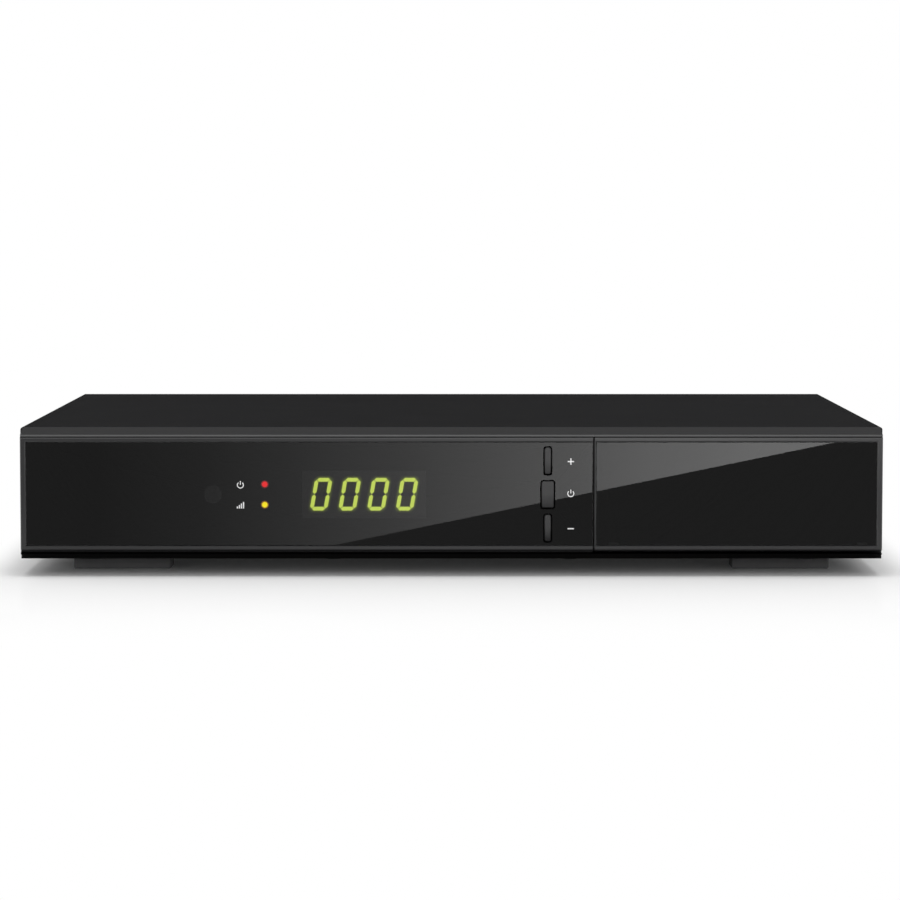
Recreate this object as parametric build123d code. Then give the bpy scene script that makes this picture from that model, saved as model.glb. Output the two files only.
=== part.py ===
from build123d import *
import math
import os

# Satellite television receiver: a folded steel case with a moulded plastic front, a flap over a
# card bay, three front keys, a four-digit display and a rear panel of sockets with a mains switch.
#
# Millimetres. X runs to the right, Y to the back and Z up. The origin is under the middle of the
# receiver, on the surface that it stands on. Depths called "back" count from the fascia's face.

# ---- driving dimensions: case ----
case_width = 260.0
case_depth = 185.0
body_height = 40.0
foot_height = 5.0
sheet = 0.8
cover_proud = 0.6
bend_inside = 0.1
corner_relief = 1.5
hole_sides = 10
fit_gap = 0.15

# ---- front moulding ----
wall = 2.0
fascia_inset = 2.7
fascia_depth = 3.8
bevel_front = 0.4
bevel_edge = 0.5
bevel_depth = 6.4
groove_height = 0.22
groove_depth = 1.0
lip_front = 4.5
rim_chamfer = 0.26
rim_chamfer_drop = 0.13
window_round = 0.2
lip_back = 14.0
lip_wall = 1.4
top_chamfer = 0.32
bottom_round = 0.9
side_chamfer = 0.3

# ---- front window ----
rim_width = 1.67
rim_height_low = 1.85
rim_height_high = 1.38
window_thickness = 1.5
window_sink = 0.05
window_gap = 0.04
window_corner = 0.5

# ---- flap and card bay ----
flap_width = 87.0
flap_gap = 0.35
flap_thickness = 3.4
flap_seat_back = 4.3
flap_rim_left = 0.6
flap_window_thickness = 0.8
flap_skin_back = 2.2
flap_rib = 2.0
flap_bottom_bar = 3.2
hinge_back = 2.0
hinge_rise = 1.6
hinge_pin_radius = 0.45
hinge_play = 0.05
hinge_sweep_gap = 0.1
ear_radius = 0.85
ear_width = 2.4
ear_inset = 6.0
notch_gap = 0.3
hinge_pin_length = 7.2
bay_margin_left = 4.45
bay_margin_right = 4.0
bay_bottom = 11.2
bay_top = 37.5
bay_back = 10.3
bay_wall = 1.5
card_width = 53.98
card_play = 1.0
card_slot_height = 2.0
catch_width = 6.0
catch_thickness = 1.0
catch_reach = 3.0
catch_drop = 1.9

# ---- keys ----
key_inset = 13.6
key_middle_z = 25.0
key_pitch = 10.18
channel_key_width = 2.75
power_key_width = 4.55
key_height = 8.85
key_gap = 0.42
key_corner = 0.9
key_reach = 0.2
key_dome = 0.2
key_collar = 0.9
key_collar_thickness = 0.7
key_collar_gap = 0.15
key_travel = 0.5

# ---- front board, display and lamps ----
board = 1.6
front_board_back = 9.0
front_board_overhang = 12.0
front_board_margin = 1.6
front_board_low_gap = 3.8
front_board_high_gap = 4.6
display_from_keys = 55.4
display_z = 25.0
display_width = 37.0
display_height = 14.0
display_face_back = 2.0
digit_height = 9.9
digit_width = 5.3
digit_pitch = 8.65
digit_count = 4
digit_slant = 10.0
stroke = 1.15
stroke_gap = 0.16
segment_depth = 0.6
lamp_from_display = 30.0
power_lamp_z = 28.0
signal_lamp_z = 21.8
lamp_radius = 1.05
lamp_base_radius = 1.6
lamp_tower = 2.6
lamp_base = 2.0
infrared_from_lamps = 15.6
infrared_radius = 2.6
switch_body = 6.0
switch_height = 3.5
plunger_radius = 1.6
plunger_rise = 0.7
front_boss_radius = 2.3
bezel_screw_inset = 22.0
bezel_screw_inner = 36.0
bezel_boss_height = 3.2

# ---- rear sockets: they share the width of the rear panel, with equal gaps between them ----
rear_margin = 5.5
tuner_width = 34.5
tuner_z = 22.0
tuner_length = 45.0
lnb_pitch = 16.0
lnb_margin = 9.25
av_pitch = 13.5
av_margin = 6.6
av_depth = 12.0
mains_z = 24.0
f_barrel_radius = 4.7
f_barrel_length = 9.0
f_hex = 11.0
f_hex_thickness = 2.5
f_bore_radius = 3.4
panel_gap = 0.2

# ---- sizes of the sockets ----
hdmi_size = (15.0, 5.9)
lan_size = (16.0, 13.4)
usb_size = (14.0, 7.0)
optical_size = (9.8, 9.8)
scart_size = (47.5, 15.4)
scart_proud = 4.5
av_bush_radius = 5.4
av_bush_proud = 1.2
av_shell_radius = 4.15
av_shell_length = 9.0
av_shell_wall = 0.75
av_shell_step = 0.3
av_pin_radius = 1.65
rocker_frame = (15.0, 21.0)
rocker_width = 9.5
rocker_height = 13.6
rocker_room = 1.9
rocker_stub_radius = 0.9
rocker_swing = 20.0
rocker_pivot_drop = 2.2
inlet_flange = (21.0, 15.0)
inlet_mouth = (14.4, 8.4)
inlet_pin_pitch = 8.6

# ---- inner boards ----
standoff_height = 6.0
main_board_inset = 8.0
main_board_rear_gap = 1.5
main_board_front = 20.0
power_board_size = (70.0, 88.0)
power_board_inset = 9.0
power_board_front = 26.0
board_gap = 7.0
notch_back = 70.0
processor_x = 18.0
processor_from_rear = 68.0
heat_sink_side = 35.0
capacitor_from_sink = 12.5
capacitor_steps = (-38.0, -26.0, 44.0, 56.0)
capacitor_radius = 4.0
capacitor_height = 11.0
ribbon_x = -20.0
ribbon_width = 14.0
harness_shift = 1.6
flange_height = 12.0
floor_vent_count = 9
vent_pitch = 5.0
vent_width = 2.2
vent_length = 44.0
side_vent_count = 10
side_vent_middle = 96.0
side_vent_heights = (24.0, 37.0)

# ---- feet and fasteners ----
foot_width = 30.0
foot_length = 12.0
foot_inset = 28.4
foot_front_back = 30.0
foot_rear_margin = 24.0
foot_corner = 0.6
peg_radius = 1.6
screw_head_radius = 2.7
screw_head_height = 1.3
wafer_head_height = 0.6
screw_radius = 1.45
dimple_depth = 1.4
dimple_radius = 3.4
dimple_slope = 1.2
side_screw_z = 11.5
side_screw_front = 45.0
side_screw_rear = 34.2
rear_screw_inset = 12.0
rear_lip_height = 7.5
rear_screw_drop = 4.2

# ---- places worked out from the sizes above ----
rear_reach = f_hex_thickness + f_barrel_length
front_y = (key_reach - case_depth - rear_reach + sheet) / 2
case_bottom = foot_height
case_top = foot_height + body_height
panel_face = case_depth - sheet
panel_inside = panel_face - sheet
half_case = case_width / 2
half_cover = half_case + cover_proud
bend_radius = sheet + bend_inside
half_inside = half_cover - sheet
half_chassis = half_inside - dimple_depth
floor_top = case_bottom + sheet
fascia_bottom = case_bottom + fascia_inset
fascia_top = case_top - fascia_inset
board_bottom = floor_top + standoff_height
board_top = board_bottom + board
chassis_top = case_top - sheet - fit_gap
window_bottom = fascia_bottom + rim_height_low
rear_screw_z = case_top - rear_screw_drop
hdmi_z = board_top + hdmi_size[1] / 2 + 0.6
lan_z = board_top + lan_size[1] / 2
usb_z = board_top + usb_size[1] / 2
optical_z = board_top + optical_size[1] / 2 + 0.3
av_z = board_top + 8.6
scart_z = board_top + scart_size[1] / 2
rocker_pivot_back = panel_face - rocker_pivot_drop
window_top = fascia_top - rim_height_high
window_back = window_sink + window_thickness
flap_left = half_case - flap_width
fascia_right = flap_left - flap_gap
bay_left = flap_left + bay_margin_left
bay_right = half_case - bay_margin_right
card_x = (bay_left + bay_right) / 2
key_x = fascia_right - key_inset
display_x = key_x - display_from_keys
lamp_x = display_x - lamp_from_display
infrared_x = lamp_x - infrared_from_lamps
front_board_left = infrared_x - front_board_overhang
front_board_right = fascia_right - front_board_margin
front_board_bottom = floor_top + front_board_low_gap
front_board_top = case_top - front_board_high_gap
bezel_screw_far = half_case - bezel_screw_inset
bezel_screw_xs = (-bezel_screw_far, -bezel_screw_inner, bezel_screw_inner, bezel_screw_far)
side_screw_backs = (side_screw_front, panel_face - side_screw_rear)
rear_screw_xs = (rear_screw_inset - half_case, 0.0, half_case - rear_screw_inset)
foot_x = half_case - foot_inset
hinge_z = fascia_bottom + hinge_rise
hinge_sweep = (hinge_back**2 + hinge_rise**2) ** 0.5 + hinge_sweep_gap
bezel_screw_back = lip_back - 3.0
key_zs = {
    "channel_up": key_middle_z + key_pitch,
    "power": key_middle_z,
    "channel_down": key_middle_z - key_pitch,
}
key_widths = {
    "channel_up": channel_key_width,
    "power": power_key_width,
    "channel_down": channel_key_width,
}
power_board_x = power_board_inset + power_board_size[0] / 2 - half_case
power_board_back = power_board_front + power_board_size[1] / 2
power_board_right = power_board_x + power_board_size[0] / 2
power_board_rear = power_board_front + power_board_size[1]
main_board_right = half_case - main_board_inset
main_board_left = power_board_inset + main_board_inset + 29.0 - half_case
main_board_notch = power_board_right + board_gap
main_board_step = power_board_rear + board_gap
processor_back = panel_inside - processor_from_rear
socket_widths = {
    "mains_inlet": inlet_flange[0],
    "mains_switch": rocker_frame[0],
    "scart": scart_size[0],
    "av": 2 * av_pitch + 2 * av_margin,
    "optical": optical_size[0],
    "usb": usb_size[0],
    "lan": lan_size[0],
    "hdmi": hdmi_size[0],
    "tuner": tuner_width,
}
socket_span = 2 * (half_chassis - rear_margin)
socket_gap = (socket_span - sum(socket_widths.values())) / (len(socket_widths) - 1)
socket_xs = {}
edge = -socket_span / 2
for socket, width in socket_widths.items():
    socket_xs[socket] = edge + width / 2
    edge += width + socket_gap
lnb_out_x = socket_xs["tuner"] - tuner_width / 2 + lnb_margin
lnb_in_x = lnb_out_x + lnb_pitch
hdmi_x = socket_xs["hdmi"]
lan_x = socket_xs["lan"]
usb_x = socket_xs["usb"]
optical_x = socket_xs["optical"]
av_x = socket_xs["av"]
scart_x = socket_xs["scart"]
mains_switch_x = socket_xs["mains_switch"]
inlet_x = socket_xs["mains_inlet"]
switch_front = front_board_back - switch_height
plunger_front = switch_front - plunger_rise


def block(x, back, z):
    """A box between pairs of limits: across, back from the fascia's face, and up."""
    size = Box(x[1] - x[0], back[1] - back[0], z[1] - z[0])
    return Pos((x[0] + x[1]) / 2, front_y + (back[0] + back[1]) / 2, (z[0] + z[1]) / 2) * size


def around(middle, width):
    """The pair of limits of a width set about its middle."""
    return (middle - width / 2, middle + width / 2)


def prism(place, radius, length, sides):
    """A straight bar with flat sides, as wide across them as a round bar of that radius."""
    return extrude(place * RegularPolygon(radius, sides, major_radius=False), length)


def rod(x, back, z, radius, sides=0):
    """A round bar that lies front to back; small hidden ones and screw holes have flat sides."""
    if sides:
        place = Plane(origin=(x, front_y + back[0], z), x_dir=(1, 0, 0), z_dir=(0, 1, 0))
        return prism(place, radius, back[1] - back[0], sides)
    return Pos(x, front_y + (back[0] + back[1]) / 2, z) * Rot(90, 0, 0) * Cylinder(radius, back[1] - back[0])


def post(x, back, z, radius, sides=0):
    """A round bar that stands upright, between the heights of the pair z."""
    if sides:
        return prism(Pos(x, front_y + back, z[0]), radius, z[1] - z[0], sides)
    return Pos(x, front_y + back, (z[0] + z[1]) / 2) * Cylinder(radius, z[1] - z[0])


def cross_rod(x, back, z, radius, sides=0):
    """A round bar that lies from left to right, between the pair x."""
    if sides:
        place = Plane(origin=(x[0], front_y + back, z), x_dir=(0, 1, 0), z_dir=(1, 0, 0))
        return prism(place, radius, x[1] - x[0], sides)
    return Pos((x[0] + x[1]) / 2, front_y + back, z) * Rot(0, 90, 0) * Cylinder(radius, x[1] - x[0])


def soft_block(x, back, z, radius, axis=Axis.Y):
    """A block with the four edges along one axis rounded."""
    solid = block(x, back, z)
    return fillet(solid.edges().filter_by(axis), radius)


def hex_bar(x, back, z, across_flats):
    """A hexagonal bar that lies front to back."""
    face = Plane(origin=(x, front_y + back[0], z), x_dir=(1, 0, 0), z_dir=(0, 1, 0))
    outline = face * RegularPolygon(across_flats / 2, 6, major_radius=False)
    return extrude(outline, back[1] - back[0])


def side_profile(points, x):
    """A solid that runs across from x[0] to x[1], from an outline of (back, height) points."""
    outline = Polyline([(x[0], front_y + back, z) for back, z in points], close=True)
    return extrude(make_face(outline), x[1] - x[0], dir=(1, 0, 0))


def group(solids):
    """Separate solids that share one node."""
    return Compound(children=list(solids))


def front_edges(solid, back):
    """The edges of a solid that lie in the plane at that depth."""
    return solid.edges().filter_by_position(Axis.Y, front_y + back - 0.01, front_y + back + 0.01)


# ---- case ----


def fascia_plate(x, back, right_rounded=True, left_rounded=True):
    """A plate of the fascia's height, with its front edges rounded as the moulding's are."""
    solid = block(x, (0, back), (fascia_bottom, fascia_top))
    edges = front_edges(solid, 0)
    across = edges.filter_by(Axis.X).sort_by(Axis.Z)
    upright = edges.filter_by(Axis.Z).sort_by(Axis.X)
    solid = chamfer(across[-1], top_chamfer)
    edges = front_edges(solid, 0)
    solid = fillet(edges.filter_by(Axis.X).sort_by(Axis.Z)[0], bottom_round)
    if right_rounded:
        solid = chamfer(front_edges(solid, 0).filter_by(Axis.Z).sort_by(Axis.X)[-1], side_chamfer)
    if left_rounded:
        solid = chamfer(front_edges(solid, 0).filter_by(Axis.Z).sort_by(Axis.X)[0], side_chamfer)
    return solid


def front_bezel():
    """Moulded front: bevels above and below, a plate for the window, a card bay and a rear lip."""
    across = (-half_case, half_case)
    groove_top = fascia_top + groove_height
    groove_bottom = fascia_bottom - groove_height
    top_bevel = [
        (bevel_front, groove_top),
        (bevel_front + bevel_edge, groove_top + bevel_edge),
        (bevel_depth, case_top),
        (bevel_depth, groove_top),
    ]
    bottom_bevel = [
        (bevel_front, groove_bottom),
        (bevel_front, groove_bottom - bevel_edge),
        (bevel_depth, case_bottom),
        (bevel_depth, groove_bottom),
    ]
    lip_half = half_chassis - fit_gap
    lip_low = floor_top + fit_gap
    lip_high = case_top - sheet - fit_gap
    shell = side_profile(top_bevel, across) + side_profile(bottom_bevel, across)
    shell += block(across, (groove_depth, bevel_depth), (groove_bottom - 0.5, groove_top + 0.5))
    shell += block((-lip_half, lip_half), (lip_front, lip_back), (lip_low, lip_high))
    inner_half = lip_half - lip_wall
    shell -= block(
        (-inner_half, inner_half), (fascia_depth, lip_back + 1), (lip_low + lip_wall, lip_high - lip_wall)
    )
    shell += fascia_plate((-half_case, fascia_right), fascia_depth, right_rounded=False)

    # the flap's seat, and the bay behind it with a funnelled slot for a card
    seat = (fascia_right, half_case + 1)
    shell -= block(seat, (-1, flap_seat_back), (groove_bottom, groove_top))
    shell += block(
        (fascia_right - wall, half_case),
        (flap_seat_back, bevel_depth),
        (groove_bottom - 0.5, groove_top + 0.5),
    )
    shell += block(
        (fascia_right - wall, fascia_right), (fascia_depth - 0.5, bevel_depth), (fascia_bottom, fascia_top)
    )
    shell += block(
        (bay_left - bay_wall, bay_right + bay_wall),
        (flap_seat_back, bay_back + bay_wall),
        (bay_bottom - bay_wall, bay_top + bay_wall),
    )
    shell -= block((bay_left, bay_right), (-1, bay_back), (bay_bottom, bay_top))
    shell -= card_funnel()

    # the hollow that the flap's lower edge sweeps through, the catch slot and the hinge ears
    shell -= cross_rod((fascia_right, half_case + 1), hinge_back, hinge_z, hinge_sweep)
    catch_z = fascia_top - catch_drop - catch_thickness / 2
    shell -= block(
        around(card_x, catch_width + 1.0), (0, bevel_depth + 1), (catch_z - 1.0, catch_z + 1.3)
    )
    for x in ear_places():
        shell += block(
            around(x, ear_width), (hinge_back, flap_seat_back + 1), around(hinge_z, 2 * ear_radius)
        )
        shell += cross_rod(around(x, ear_width), hinge_back, hinge_z, ear_radius)
        shell -= cross_rod(around(x, ear_width + 1), hinge_back, hinge_z, hinge_pin_radius + hinge_play)

    # the window's recess and the openings behind it
    shell -= block(
        (-half_case + rim_width - window_gap, fascia_right + 1),
        (-1, window_back),
        (window_bottom - window_gap, window_top + window_gap),
    )
    shell -= recess_chamfer(-half_case + rim_width, fascia_right + 2)
    shell -= block(
        around(display_x, display_width + 2 * fit_gap),
        (0, fascia_depth + 1),
        around(display_z, display_height + 2 * fit_gap),
    )
    for z in (power_lamp_z, signal_lamp_z):
        shell -= rod(lamp_x, (0, fascia_depth + 1), z, lamp_radius + fit_gap)
    shell -= rod(infrared_x, (0, fascia_depth + 1), display_z, infrared_radius + fit_gap)
    for name, z in key_zs.items():
        shell -= soft_block(
            around(key_x, key_widths[name]), (0, fascia_depth + 1), around(z, key_height), key_corner
        )

    # bosses for the front board's screws and for the screws that come up through the floor
    for x, z in front_board_holes():
        width = 2 * front_boss_radius
        shell += block(around(x, width), (fascia_depth - 0.5, front_board_back), around(z, width))
        shell -= rod(x, (fascia_depth + 1, front_board_back + 1), z, screw_radius, hole_sides)
    for x in bezel_screw_xs:
        width = 2 * front_boss_radius
        rise = (lip_low, lip_low + bezel_boss_height)
        screw_rise = (lip_low - 1, lip_low + bezel_boss_height - 0.8)
        screw_rise = (lip_low - 1, lip_low + bezel_boss_height - 0.8)
        screw_rise = (lip_low - 1, lip_low + bezel_boss_height - 0.8)
        shell += block(around(x, width), around(bezel_screw_back, width), rise)
        shell -= post(x, bezel_screw_back, screw_rise, screw_radius, hole_sides)
    return shell


def card_funnel():
    """The slot in the bay's back wall, wider at its mouth so that a card finds its way in."""
    low, high = card_slot_z()
    half = (card_width + card_play) / 2
    flare = bay_wall / 2
    mouth = Plane(origin=(card_x, front_y + bay_back, (low + high) / 2), x_dir=(1, 0, 0), z_dir=(0, 1, 0))
    wide = mouth * Rectangle(2 * (half + flare), high - low + 2 * flare)
    narrow = mouth.offset(flare) * Rectangle(2 * half, high - low)
    straight = block((card_x - half, card_x + half), (bay_back, bay_back + bay_wall + 1), (low, high))
    return loft([wide, narrow]) + straight


def card_slot_z():
    """The heights of the card slot: it lines up with the reader that stands on the main board."""
    middle = board_top + 3.4
    return around(middle, card_slot_height)


def ear_places():
    """The places across the flap of its two hinge ears."""
    return (flap_left + ear_inset, half_case - ear_inset)


def front_board_holes():
    """The four screw places of the front board, as (across, height)."""
    inset = 4.0
    xs = (front_board_left + inset, front_board_right - inset)
    zs = (front_board_bottom + inset, front_board_top - inset)
    return [(x, z) for x in xs for z in zs]


def recess_chamfer(left, right):
    """The slope round the mouth of a window's recess, as a tapered block to cut away."""
    middle = (left + right) / 2
    mouth = Plane(
        origin=(middle, front_y, (window_bottom + window_top) / 2), x_dir=(1, 0, 0), z_dir=(0, 1, 0)
    )
    width = right - left + 2 * window_gap
    height = window_top - window_bottom + 2 * window_gap
    wide = mouth * Rectangle(width + 2 * rim_chamfer, height + 2 * rim_chamfer)
    narrow = mouth.offset(rim_chamfer_drop) * Rectangle(width, height)
    return loft([wide, narrow])


def front_window():
    """Smoked acrylic window, glued in the fascia's recess, with a hole for each key."""
    window = soft_block(
        (-half_case + rim_width, fascia_right),
        (window_sink, window_back),
        (window_bottom, window_top),
        window_corner,
    )
    window = fillet(front_edges(window, window_sink), window_round)
    for name, z in key_zs.items():
        window -= soft_block(
            around(key_x, key_widths[name]), (-1, window_back + 1), around(z, key_height), key_corner
        )
    return window


def flap():
    """Hinged flap: a plate with a recess for its window, ribs and hinge notches behind."""
    across = (flap_left, half_case)
    plate = fascia_plate(across, flap_thickness)
    plate -= block(
        (flap_left + flap_rim_left - window_gap, half_case - rim_width + window_gap),
        (-1, window_sink + flap_window_thickness),
        (window_bottom - window_gap, window_top + window_gap),
    )
    plate -= recess_chamfer(flap_left + flap_rim_left, half_case - rim_width)
    pocket_low = fascia_bottom + flap_bottom_bar
    pocket_high = fascia_top - flap_bottom_bar
    pockets = 4
    room = half_case - flap_left - flap_rib
    for step in range(pockets):
        left = flap_left + flap_rib + step * room / pockets
        right = left + room / pockets - flap_rib
        plate -= soft_block(
            (left, right), (flap_skin_back, flap_thickness + 1), (pocket_low, pocket_high), 1.0
        )
    for x in ear_places():
        plate -= block(
            around(x, ear_width + 2 * notch_gap),
            (window_sink + flap_window_thickness, flap_thickness + 1),
            (fascia_bottom - 1, hinge_z + ear_radius + notch_gap),
        )
    for x in ear_places():
        plate -= cross_rod(around(x, hinge_pin_length), hinge_back, hinge_z, hinge_pin_radius)
    tongue_z = fascia_top - catch_drop - catch_thickness / 2
    tongue = block(
        around(card_x, catch_width),
        (flap_skin_back, flap_thickness + catch_reach),
        around(tongue_z, catch_thickness),
    )
    return plate + tongue


def flap_window():
    """Smoked acrylic plate glued in the flap's recess."""
    window = soft_block(
        (flap_left + flap_rim_left, half_case - rim_width),
        (window_sink, window_sink + flap_window_thickness),
        (window_bottom, window_top),
        window_corner,
    )
    return fillet(front_edges(window, window_sink), window_round)


def flap_hinge_pins():
    """Two steel pins, pressed into the flap, that turn in the ears of the front moulding."""
    return group(
        cross_rod(around(x, hinge_pin_length), hinge_back, hinge_z, hinge_pin_radius) for x in ear_places()
    )


# ---- keys ----


def key(name):
    """One front key: a domed cap in its hole and a collar that keeps it behind the fascia."""
    z = key_zs[name]
    width = key_widths[name] - 2 * key_gap
    height = key_height - 2 * key_gap
    collar_front = fascia_depth + key_collar_gap
    cap = soft_block(
        around(key_x, width), (-key_reach, collar_front + 0.1), around(z, height), key_corner - key_gap + 0.1
    )
    cap = chamfer(front_edges(cap, -key_reach), key_dome)
    collar = block(
        around(key_x, key_widths[name] + 2 * key_collar),
        (collar_front, collar_front + key_collar_thickness),
        around(z, key_height + 2 * key_collar - 1.0),
    )
    stem = block(
        around(key_x, 1.6), (collar_front, plunger_front), around(z, 1.6)
    )
    return cap + collar + stem


def key_switch_body(name):
    """The square tactile switch under a key, with the bore that its plunger slides in."""
    z = key_zs[name]
    body = block(around(key_x, switch_body), (switch_front, front_board_back), around(z, switch_body))
    bore = rod(key_x, (switch_front - 1, switch_front + 2.2), z, plunger_radius + hinge_play)
    return body - bore


def key_plunger(name):
    """The round plunger of a tactile switch. It travels with its key."""
    return rod(key_x, (plunger_front, switch_front + 1.6), key_zs[name], plunger_radius)


# ---- front board and display ----


def front_board():
    """Circuit board behind the fascia, with holes for its screws."""
    plate = block(
        (front_board_left, front_board_right),
        (front_board_back, front_board_back + board),
        (front_board_bottom, front_board_top),
    )
    for x, z in front_board_holes():
        depth = (front_board_back - 1, front_board_back + board + 1)
        plate -= rod(x, depth, z, screw_radius + fit_gap, hole_sides)
    return plate


def digit_segments(middle_bar):
    """The bars of every digit as prisms in the display's face: the middle bars or all the others."""
    across = digit_width - stroke
    tall = (digit_height - stroke) / 2
    if middle_bar:
        places = [(0, 0, False)]
    else:
        places = [(0, tall, False), (0, -tall, False)]
        places += [(i * across / 2, j * tall / 2, True) for i in (-1, 1) for j in (-1, 1)]
    solids = []
    for index in range(digit_count):
        middle = display_x + (index - (digit_count - 1) / 2) * digit_pitch
        for dx, dz, upright in places:
            length = (tall if upright else across) - stroke_gap
            solids.append(digit_bar(middle + dx, dz, length, upright))
    return group(solids)


def digit_bar(x, dz, length, upright):
    """A bar with pointed ends, dz above the display's centre, leaned over as italics are."""
    half, point = length / 2, stroke / 2
    corners = [(-half, 0), (-half + point, point), (half - point, point)]
    corners += [(-a, -b) for a, b in corners]
    if upright:
        corners = [(-b, a) for a, b in corners]
    lean = math.tan(math.radians(digit_slant))
    face = front_y + display_face_back
    places = [(x + a + lean * (dz + b), face, display_z + dz + b) for a, b in corners]
    return extrude(make_face(Polyline(places, close=True)), segment_depth, dir=(0, 1, 0))


def display_case():
    """The display's moulded case, with a pocket for each bar of its digits."""
    case = block(
        around(display_x, display_width),
        (display_face_back, front_board_back),
        around(display_z, display_height),
    )
    for solid in digit_segments(False).solids() + digit_segments(True).solids():
        case -= solid
    return case


def lamp(z):
    """A small indicator lamp: a round tower on a wider base, with two legs through the board."""
    tower = rod(lamp_x, (display_face_back, display_face_back + lamp_tower), z, lamp_radius)
    tower = chamfer(front_edges(tower, display_face_back), 0.25)
    base_front = display_face_back + lamp_tower
    base = rod(lamp_x, (base_front, base_front + lamp_base), z, lamp_base_radius, 12)
    legs = [
        block(around(lamp_x + side * 0.9, 0.5), (base_front + 1, front_board_back), around(z, 0.5))
        for side in (-1, 1)
    ]
    return tower + base + legs[0] + legs[1]


def infrared_eye():
    """Remote control receiver: a small block with a round lens behind the window."""
    body_front = display_face_back + infrared_radius
    lens = rod(infrared_x, (display_face_back, body_front + 0.5), display_z, infrared_radius)
    lens = chamfer(front_edges(lens, display_face_back), infrared_radius * 0.4)
    body = block(around(infrared_x, 6.0), (body_front, front_board_back), around(display_z, 7.0))
    return lens + body


# ---- case metalwork ----


def base_chassis():
    """Folded steel tray: floor, side flanges that the cover screws to, and the rear panel."""
    floor_front = bevel_depth + fit_gap
    flange_front = lip_back + 1.0
    across = (-half_chassis, half_chassis)
    tray = block(across, (floor_front, panel_face), (case_bottom, floor_top))
    for side in (-1, 1):
        outer, inner = side * half_chassis, side * (half_chassis - sheet)
        limits = (min(outer, inner), max(outer, inner))
        tray += block(limits, (flange_front, panel_face), (case_bottom, case_bottom + flange_height))
    panel_half = half_inside - fit_gap
    panel = block((-panel_half, panel_half), (panel_inside, panel_face), (case_bottom, chassis_top))
    tray += chamfer(panel.edges().filter_by(Axis.Y).group_by(Axis.Z)[-1], corner_relief)

    # openings for the sockets
    for x, width, height, z in panel_openings():
        tray -= block(around(x, width), (panel_inside - 1, panel_face + 1), around(z, height))
    for x in (lnb_in_x, lnb_out_x):
        tray -= rod(x, (panel_inside - 1, panel_face + 1), tuner_z, f_barrel_radius + panel_gap)

    # holes for screws and foot pegs
    for x in rear_screw_xs:
        tray -= rod(x, (panel_inside - 1, panel_face + 1), rear_screw_z, screw_radius, hole_sides)
    for x, back in foot_places().values():
        tray -= post(x, back, (case_bottom - 1, floor_top + 1), peg_radius + hinge_play, hole_sides)
    for x in bezel_screw_xs:
        through = (case_bottom - 1, floor_top + 1)
        tray -= post(x, bezel_screw_back, through, screw_radius + fit_gap, hole_sides)
    for back in side_screw_backs:
        tray -= cross_rod((-half_case, half_case), back, side_screw_z, screw_radius, hole_sides)

    # a row of cooling slots under the power supply
    for step in range(floor_vent_count):
        x = power_board_x + (step - (floor_vent_count - 1) / 2) * vent_pitch
        slot = around(power_board_back, vent_length)
        tray -= block(around(x, vent_width), slot, (case_bottom - 1, floor_top + 1))
    return tray


def panel_openings():
    """The rectangular openings of the rear panel: across, width, height and middle height."""
    gap = 2 * panel_gap
    return [
        (hdmi_x, hdmi_size[0] + gap, hdmi_size[1] + gap, hdmi_z),
        (lan_x, lan_size[0] + gap, lan_size[1] + gap, lan_z),
        (usb_x, usb_size[0] + gap, usb_size[1] + gap, usb_z),
        (optical_x, optical_size[0] + gap, optical_size[1] + gap, optical_z),
        (scart_x, scart_size[0] + gap, scart_size[1] + gap, scart_z),
        (mains_switch_x, rocker_frame[0] - 2.0, rocker_frame[1] - 2.0, mains_z),
        (inlet_x, inlet_flange[0] - 3.0, inlet_flange[1] - 3.0, mains_z),
    ] + [(x, 2 * av_bush_radius + gap, 2 * av_bush_radius + gap, av_z) for x in av_places()]


def av_places():
    """The places across the rear panel of the three phono jacks."""
    return [av_x + (1 - index) * av_pitch for index in range(3)]


def top_cover():
    """Folded steel cover: a plain top, slotted sides with dimples for screws, and a rear lip."""
    front = bevel_depth + fit_gap
    outline = block((-half_cover, half_cover), (front, case_depth), (case_bottom, case_top))
    outline = fillet(outline.edges().filter_by(Axis.Y).sort_by(Axis.Z)[-2:], bend_radius)
    hollow = block(
        (-half_inside, half_inside), (front - 1, case_depth + 1), (case_bottom - 1, case_top - sheet)
    )
    hollow = fillet(hollow.edges().filter_by(Axis.Y).sort_by(Axis.Z)[-2:], bend_inside)
    cover = outline - hollow
    low = case_top - rear_lip_height
    lip_half = half_cover - corner_relief - 1.0
    cover -= block(
        (-half_case, half_case),
        (panel_face + 0.1, case_depth + 1),
        (case_bottom - 1, case_top - sheet),
    )
    cover += block((-lip_half, lip_half), (panel_face + 0.05, case_depth), (low, case_top - sheet / 2))
    for x in rear_screw_xs:
        cover -= rod(x, (panel_face - 1, case_depth + 1), rear_screw_z, screw_radius + fit_gap, hole_sides)
    for side in (-1, 1):
        for back in side_screw_backs:
            cover += dimple(side, back, half_inside + 0.01)
            cover -= dimple(side, back, half_cover)
        cover -= [
            block(
                (min(side * half_chassis, side * half_case), max(side * half_chassis, side * half_case)),
                around(side_vent_middle + (step - (side_vent_count - 1) / 2) * vent_pitch, vent_width),
                side_vent_heights,
            )
            for step in range(side_vent_count)
        ]
    for back in side_screw_backs:
        cover -= cross_rod((-half_case, half_case), back, side_screw_z, screw_radius + fit_gap, hole_sides)
    return cover


def dimple(side, back, outer):
    """A round sunk seat for a screw head, from the plane x = outer towards the middle."""
    cone = Cone(dimple_radius + dimple_slope, dimple_radius, dimple_depth)
    lean = Rot(0, -90 * side, 0)
    return Pos(side * (outer - dimple_depth / 2), front_y + back, side_screw_z) * lean * cone


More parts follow.
